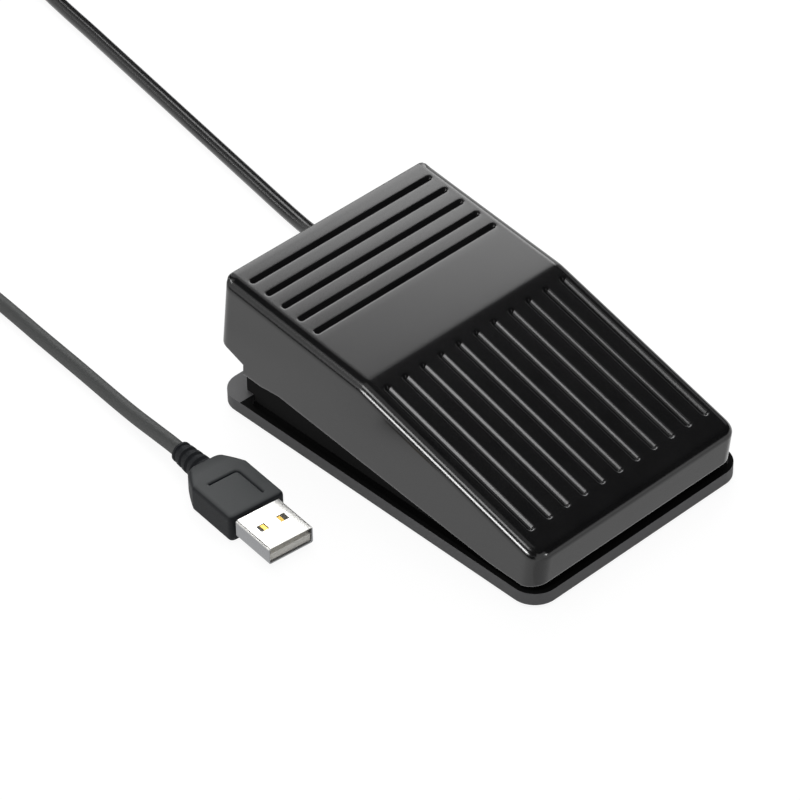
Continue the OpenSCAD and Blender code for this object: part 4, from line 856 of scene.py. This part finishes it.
def shell_skin(sizes):
    """The plug's shell: a rounded rectangular tube with two square windows above and two below. Outer and
    inner loops are carried along it, the windows' quads are left out, and quads close every open edge."""
    along = np.array([0, 0.15, 2.0, WINDOW_FRONT, WINDOW_REAR, 10.0, GRIP_FRONT, SHELL_L])
    loops = [shell_loop(sizes.shell_round / MM, inset) for inset in (0.0, SHELL_WALL)]
    skins = [points_of(loop[:, 0], along[:, None], loop[:, 1]) for loop in loops]
    here, after = loops[0], np.roll(loops[0], -1, axis=0)
    middle = np.abs(here[:, 0] + after[:, 0]) / 2
    level = np.abs(here[:, 1] - after[:, 1]) < 1e-6
    window_column = level & (middle > WINDOW_IN) & (middle < WINDOW_OUT)
    window_row = (along[:-1] >= WINDOW_FRONT) & (along[1:] <= WINDOW_REAR)
    solid = ~(window_row[:, None] & window_column)
    outer = np.arange(skins[0].size // 3).reshape(len(along), -1)
    inner = outer + outer.size
    outer_next, inner_next = np.roll(outer, -1, axis=1), np.roll(inner, -1, axis=1)
    side = solid != np.roll(solid, 1, axis=1)
    bare = np.zeros((1, len(here)), bool)
    ends = np.concatenate([bare, solid]) != np.concatenate([solid, bare])
    faces = [points_of(outer[:-1], outer_next[:-1], outer_next[1:], outer[1:])[solid],
             points_of(inner[:-1], inner[1:], inner_next[1:], inner_next[:-1])[solid],
             points_of(outer[:-1], outer[1:], inner[1:], inner[:-1])[side],
             points_of(outer, outer_next, inner_next, inner)[ends]]
    return at_plug((np.concatenate(skins).reshape(-1, 3), np.concatenate(faces).tolist()))


def tie_skin():
    """The tie: a flat strap's rounded section carried round the bundle on a rectangle with round corners."""
    half_w, half_h = (TIE_OUT - TIE_IN - TIE_THICK) / 2, (TIE_TOP - TIE_THICK) / 2
    path = rounded_loop(*np.array([[half_w], [half_h], [TIE_ROUND]]), 10, 8)[0]
    ahead = unit(np.roll(path, -1, axis=0) - np.roll(path, 1, axis=0))
    section = rounded_loop(*np.array([[TIE_THICK / 2], [TIE_HALF], [TIE_EDGE]]), 4, 6)[0]
    x = (TIE_IN + TIE_OUT) / 2 + path[:, :1] + ahead[:, 1:] * section[:, 0]
    z = TIE_TOP / 2 + path[:, 1:] - ahead[:, :1] * section[:, 0]
    x, y = spun(x, section[:, 1], TIE_TURN)
    return ring_rows(points_of(COIL_X + x, COIL_Y + y, z), close_rows=True)


def settings():
    """The scene's own copy of the sizes, colours and lamp levels."""
    return bpy.context.scene.foot_pedal


FINISHES = {}


class FOOTPEDAL_OT_finishes(bpy.types.Operator):
    """Make one finish for each material slot and give it to the CAD nodes that stay"""

    bl_idname = "foot_pedal.finishes"
    bl_label = "Finishes"

    def execute(self, context):
        FINISHES.update(make_finishes(settings().colours))
        for part in frame["record"]["subparts"]:
            node = frame["nodes"][part["node"]]
            node.data.materials.clear()
            node.data.materials.append(FINISHES[part["material_slot"]])
        # The cover's walls mirror bare floor down to their lower edge, so no mirrored ray meets the base
        frame["nodes"]["base_tray"].visible_glossy = False
        return {"FINISHED"}


class FOOTPEDAL_OT_stage(bpy.types.Operator):
    """Make the camera, the floor, the lamps and the dark cards that the tread mirrors"""

    bl_idname = "foot_pedal.stage"
    bl_label = "Stage"

    def execute(self, context):
        level = settings().stage
        scene = context.scene
        scene.view_settings.view_transform = "Standard"

        lens = bpy.data.cameras.new("camera")
        lens.sensor_width, lens.lens = 36.0, CAMERA_LENS
        lens.clip_start, lens.clip_end = 0.05, 20.0
        camera = placed("camera", lens)
        camera.location = CAMERA_AT
        gaze = Vector(CAMERA_AIM) - camera.location
        camera.rotation_mode = "QUATERNION"
        camera.rotation_quaternion = gaze.to_track_quat("-Z", "Y") @ Quaternion((0, 0, 1), CAMERA_ROLL)
        scene.camera = camera

        for name, place in LAMPS.items():
            lamp = lamp_card(name, *place, getattr(level, name))
            if name in UNMIRRORED:
                lamp.visible_glossy = False
            else:
                lamp.visible_diffuse = False

        floor = card("floor", lying([(-3, -3), (3, -3), (3, 3), (-3, 3)], 0), white_floor())
        velvet = dark_card()
        flags = [card(name, corners, velvet) for name, corners in DARK_CARDS.items()]
        flags.append(card("grey floor card", GREY_CARD, grey_card()))
        for flag in flags:
            flag.visible_camera = flag.visible_diffuse = flag.visible_shadow = False
        white_world(scene)
        return {"FINISHED"}


def lying(plan, height):
    """Corners of a level card over its corners on the floor."""
    return [(x, y, height) for x, y in plan]


def upright(start, end, low, high):
    """Corners of an upright card over a line on the floor."""
    return [(*start, low), (*end, low), (*end, high), (*start, high)]


# Cards that only mirrored rays meet, in metres
ON_FLOOR = 4e-4
DARK_CARDS = {
    "dark ceiling": lying([(-1.5, -1.5), (-1.5, 1.5), (1.5, 1.5), (1.5, -1.5)], 1.1),
    "dark front card": upright((0.2, -1.2), (1.2, -0.4), 0.1, 1.1),
    "dark right card": upright((1.2, -0.4), (1.2, 0.44), 0.0, 1.1),
    "dark left card": upright((-1.3, 1.9), (-1.3, -0.8), 0.05, 1.1),
    "dark floor card": lying([(-0.05, -0.06), (-0.2, 0.21), (-1.3, 0.9), (-1.3, -0.6)], ON_FLOOR),
    "dark cord card": upright((0.07, 0.075), (0.07, 0.42), 0.0, 0.07),
}
GREY_CARD = lying([(-0.04, -0.051), (0.07, -0.051), (0.07, -0.09), (-0.04, -0.09)], ON_FLOOR)


def card(name, corners, material):
    """A flat four-cornered card."""
    mesh = bpy.data.meshes.new(name)
    mesh.from_pydata(corners, [], [(0, 1, 2, 3)])
    mesh.materials.append(material)
    return placed(name, mesh)


def lamp_card(name, azimuth, elevation, distance, width, height, radiance):
    """A rectangular lamp that faces the pedal from a direction, as bright as a card of that radiance."""
    data = bpy.data.lights.new(name, "AREA")
    data.shape = "RECTANGLE"
    data.size, data.size_y = width, height
    data.energy = radiance * math.pi * width * height
    lamp = placed(name, data)
    a, e = math.radians(azimuth), math.radians(elevation)
    way = Vector((math.cos(a) * math.cos(e), math.sin(a) * math.cos(e), math.sin(e)))
    lamp.location = way * distance
    lamp.rotation_mode = "QUATERNION"
    lamp.rotation_quaternion = (-way).to_track_quat("-Z", "Y")
    lamp.visible_camera = False
    return lamp


def seen_ray(tree):
    """1 where a ray comes from the camera, a mirror or glass, else 0."""
    path = add(tree, "LightPath").outputs
    either = maths(tree, "MAXIMUM", path["Is Camera Ray"], path["Is Glossy Ray"])
    return maths(tree, "MAXIMUM", either, path["Is Transmission Ray"])


def even(tree, kind, shade, **strength):
    """A shader of one even grey."""
    return add(tree, kind, {"Color": (shade, shade, shade, 1), **strength}).outputs[0]


def white_floor():
    """Plain white floor: seen as white, with a faint shadow, while it lights the object as matt white."""
    material, tree = blank("white paper sweep")
    glow, shade = even(tree, "Emission", 1, Strength=0.91), even(tree, "BsdfDiffuse", 0.14)
    shown = add(tree, "AddShader", {0: glow, 1: shade}).outputs[0]
    output(tree, add(tree, "MixShader", {0: seen_ray(tree), 1: even(tree, "BsdfDiffuse", 0.8), 2: shown}))
    return material


def dark_card():
    """Black velvet: the dark that the slope mirrors."""
    material, tree = blank("black velvet")
    output(tree, add(tree, "BsdfDiffuse", {"Color": (*linear("#0a0a0a"), 1)}))
    return material


def grey_card():
    """Grey paper: what the cover's front wall mirrors."""
    material, tree = blank("grey paper")
    output(tree, add(tree, "Emission", {"Color": (1, 1, 1, 1), "Strength": 0.76}))
    return material


def white_world(scene):
    """White all round where it is seen or mirrored, and a dim even light elsewhere."""
    scene.world = bpy.data.worlds.new("white room")
    scene.world.use_nodes = True
    tree = scene.world.node_tree
    tree.nodes.clear()
    dim, white = even(tree, "Background", 1, Strength=0.25), even(tree, "Background", 1, Strength=1.0)
    mix = add(tree, "MixShader", {0: seen_ray(tree), 1: dim, 2: white})
    add(tree, "OutputWorld", {"Surface": mix.outputs[0]})


class FOOTPEDAL_OT_plug(bpy.types.Operator):
    """Make the plug's grip, strain relief and shell"""

    bl_idname = "foot_pedal.plug"
    bl_label = "Plug"

    def execute(self, context):
        sizes = settings().plug
        pieces = [
            make_piece("plug_grip_moulded", grip_skin(sizes), "base", "plug_pvc", ["plug_grip"]),
            make_piece("plug_relief_ribbed", relief_skin(), "base", "plug_pvc", ["plug_strain_relief"]),
            make_piece("plug_shell_pressed", shell_skin(sizes), "base", "plug_shell", ["plug_shell"])]
        # The cover's wall mirrors bare floor, so no mirrored ray meets the plug
        for piece in pieces:
            piece.visible_glossy = False
        return {"FINISHED"}


class FOOTPEDAL_OT_coil_tie(bpy.types.Operator):
    """Make the strap that holds the coil of spare cord"""

    bl_idname = "foot_pedal.coil_tie"
    bl_label = "Coil tie"

    def execute(self, context):
        make_piece("coil_strap", tie_skin(), "base", "tie_strap", ["coil_tie"])
        return {"FINISHED"}


class FOOTPEDAL_OT_cord(bpy.types.Operator):
    """Lay the cord from the pedal through its coil to the plug"""

    bl_idname = "foot_pedal.cord"
    bl_label = "Cord"

    def execute(self, context):
        sizes = settings().cord
        route = np.concatenate([through(LEAD_ROUTE, 5)[:-1], coil_path()[:-1], through(TAIL_ROUTE, 5)]) * MM
        curve = bpy.data.curves.new("cord", "CURVE")
        curve.dimensions = "3D"
        curve.bevel_depth, curve.bevel_resolution, curve.use_fill_caps = sizes.diameter / 2, 4, True
        line = curve.splines.new("POLY")
        line.points.add(len(route) - 1)
        line.points.foreach_set("co", np.concatenate([route, np.ones((len(route), 1))], axis=1).ravel())
        curve.materials.append(FINISHES["cord_pvc"])
        cord = placed("cord", curve)
        cord.visible_glossy = False
        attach(cord, "base")
        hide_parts("cord_lead", "cord_coil", "cord_tail")
        return {"FINISHED"}


class FOOTPEDAL_OT_pedal(bpy.types.Operator):
    """Make the pedal cover and what it carries inside"""

    bl_idname = "foot_pedal.pedal"
    bl_label = "Pedal cover"

    def execute(self, context):
        make_piece("pedal_skin", cover_skin(settings().cover), "pedal", "pedal_abs", ["pedal_cover"])
        make_piece("pedal_ribs", cover_inside(), "pedal", "pedal_abs")
        return {"FINISHED"}


class FOOTPEDAL_OT_spring(bpy.types.Operator):
    """Make the return spring at its length at rest"""

    bl_idname = "foot_pedal.spring"
    bl_label = "Return spring"

    def execute(self, context):
        sizes = settings().spring
        tube = swept(spring_path(sizes), sizes.wire / MM / 2)
        spring = make_piece("spring_wound", tube, "base", "spring_steel", ["return_spring"])
        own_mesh(spring)
        return {"FINISHED"}


class FootPedalSettings(bpy.types.PropertyGroup):
    """Everything that can be changed before the pieces are made."""

    cover: PointerProperty(type=CoverSizes, name="Cover", description="Rounds and grooves of the pedal cover")
    cord: PointerProperty(type=CordSizes, name="Cord", description="Sizes of the cord")
    plug: PointerProperty(type=PlugSizes, name="Plug", description="Rounds of the plug")
    spring: PointerProperty(type=SpringSizes, name="Spring", description="Sizes of the return spring")
    colours: PointerProperty(type=FinishColours, name="Colours", description="Colours of the finishes")
    stage: PointerProperty(type=StageSettings, name="Stage", description="Brightness of the lamps")


OPERATORS = (FOOTPEDAL_OT_finishes, FOOTPEDAL_OT_stage, FOOTPEDAL_OT_plug, FOOTPEDAL_OT_coil_tie,
             FOOTPEDAL_OT_cord, FOOTPEDAL_OT_pedal, FOOTPEDAL_OT_spring)


class FOOTPEDAL_PT_panel(bpy.types.Panel):
    """Lists the steps in the order in which they are run"""

    bl_idname = "FOOTPEDAL_PT_panel"
    bl_label = "Foot pedal"
    bl_space_type = "VIEW_3D"
    bl_region_type = "UI"
    bl_category = "Foot pedal"

    def draw(self, context):
        for operator in OPERATORS:
            self.layout.operator(operator.bl_idname)


CLASSES = (CoverSizes, CordSizes, PlugSizes, SpringSizes, FinishColours, StageSettings, FootPedalSettings,
           *OPERATORS, FOOTPEDAL_PT_panel)


def register():
    for cls in CLASSES:
        bpy.utils.register_class(cls)
    bpy.types.Scene.foot_pedal = PointerProperty(type=FootPedalSettings)


def unregister():
    del bpy.types.Scene.foot_pedal
    for cls in reversed(CLASSES):
        bpy.utils.unregister_class(cls)


def main():
    register()
    steps = bpy.ops.foot_pedal
    steps.finishes()
    steps.stage()
    steps.plug()
    steps.coil_tie()
    steps.cord()
    steps.pedal()
    steps.spring()


if __name__ == "__main__":
    main()
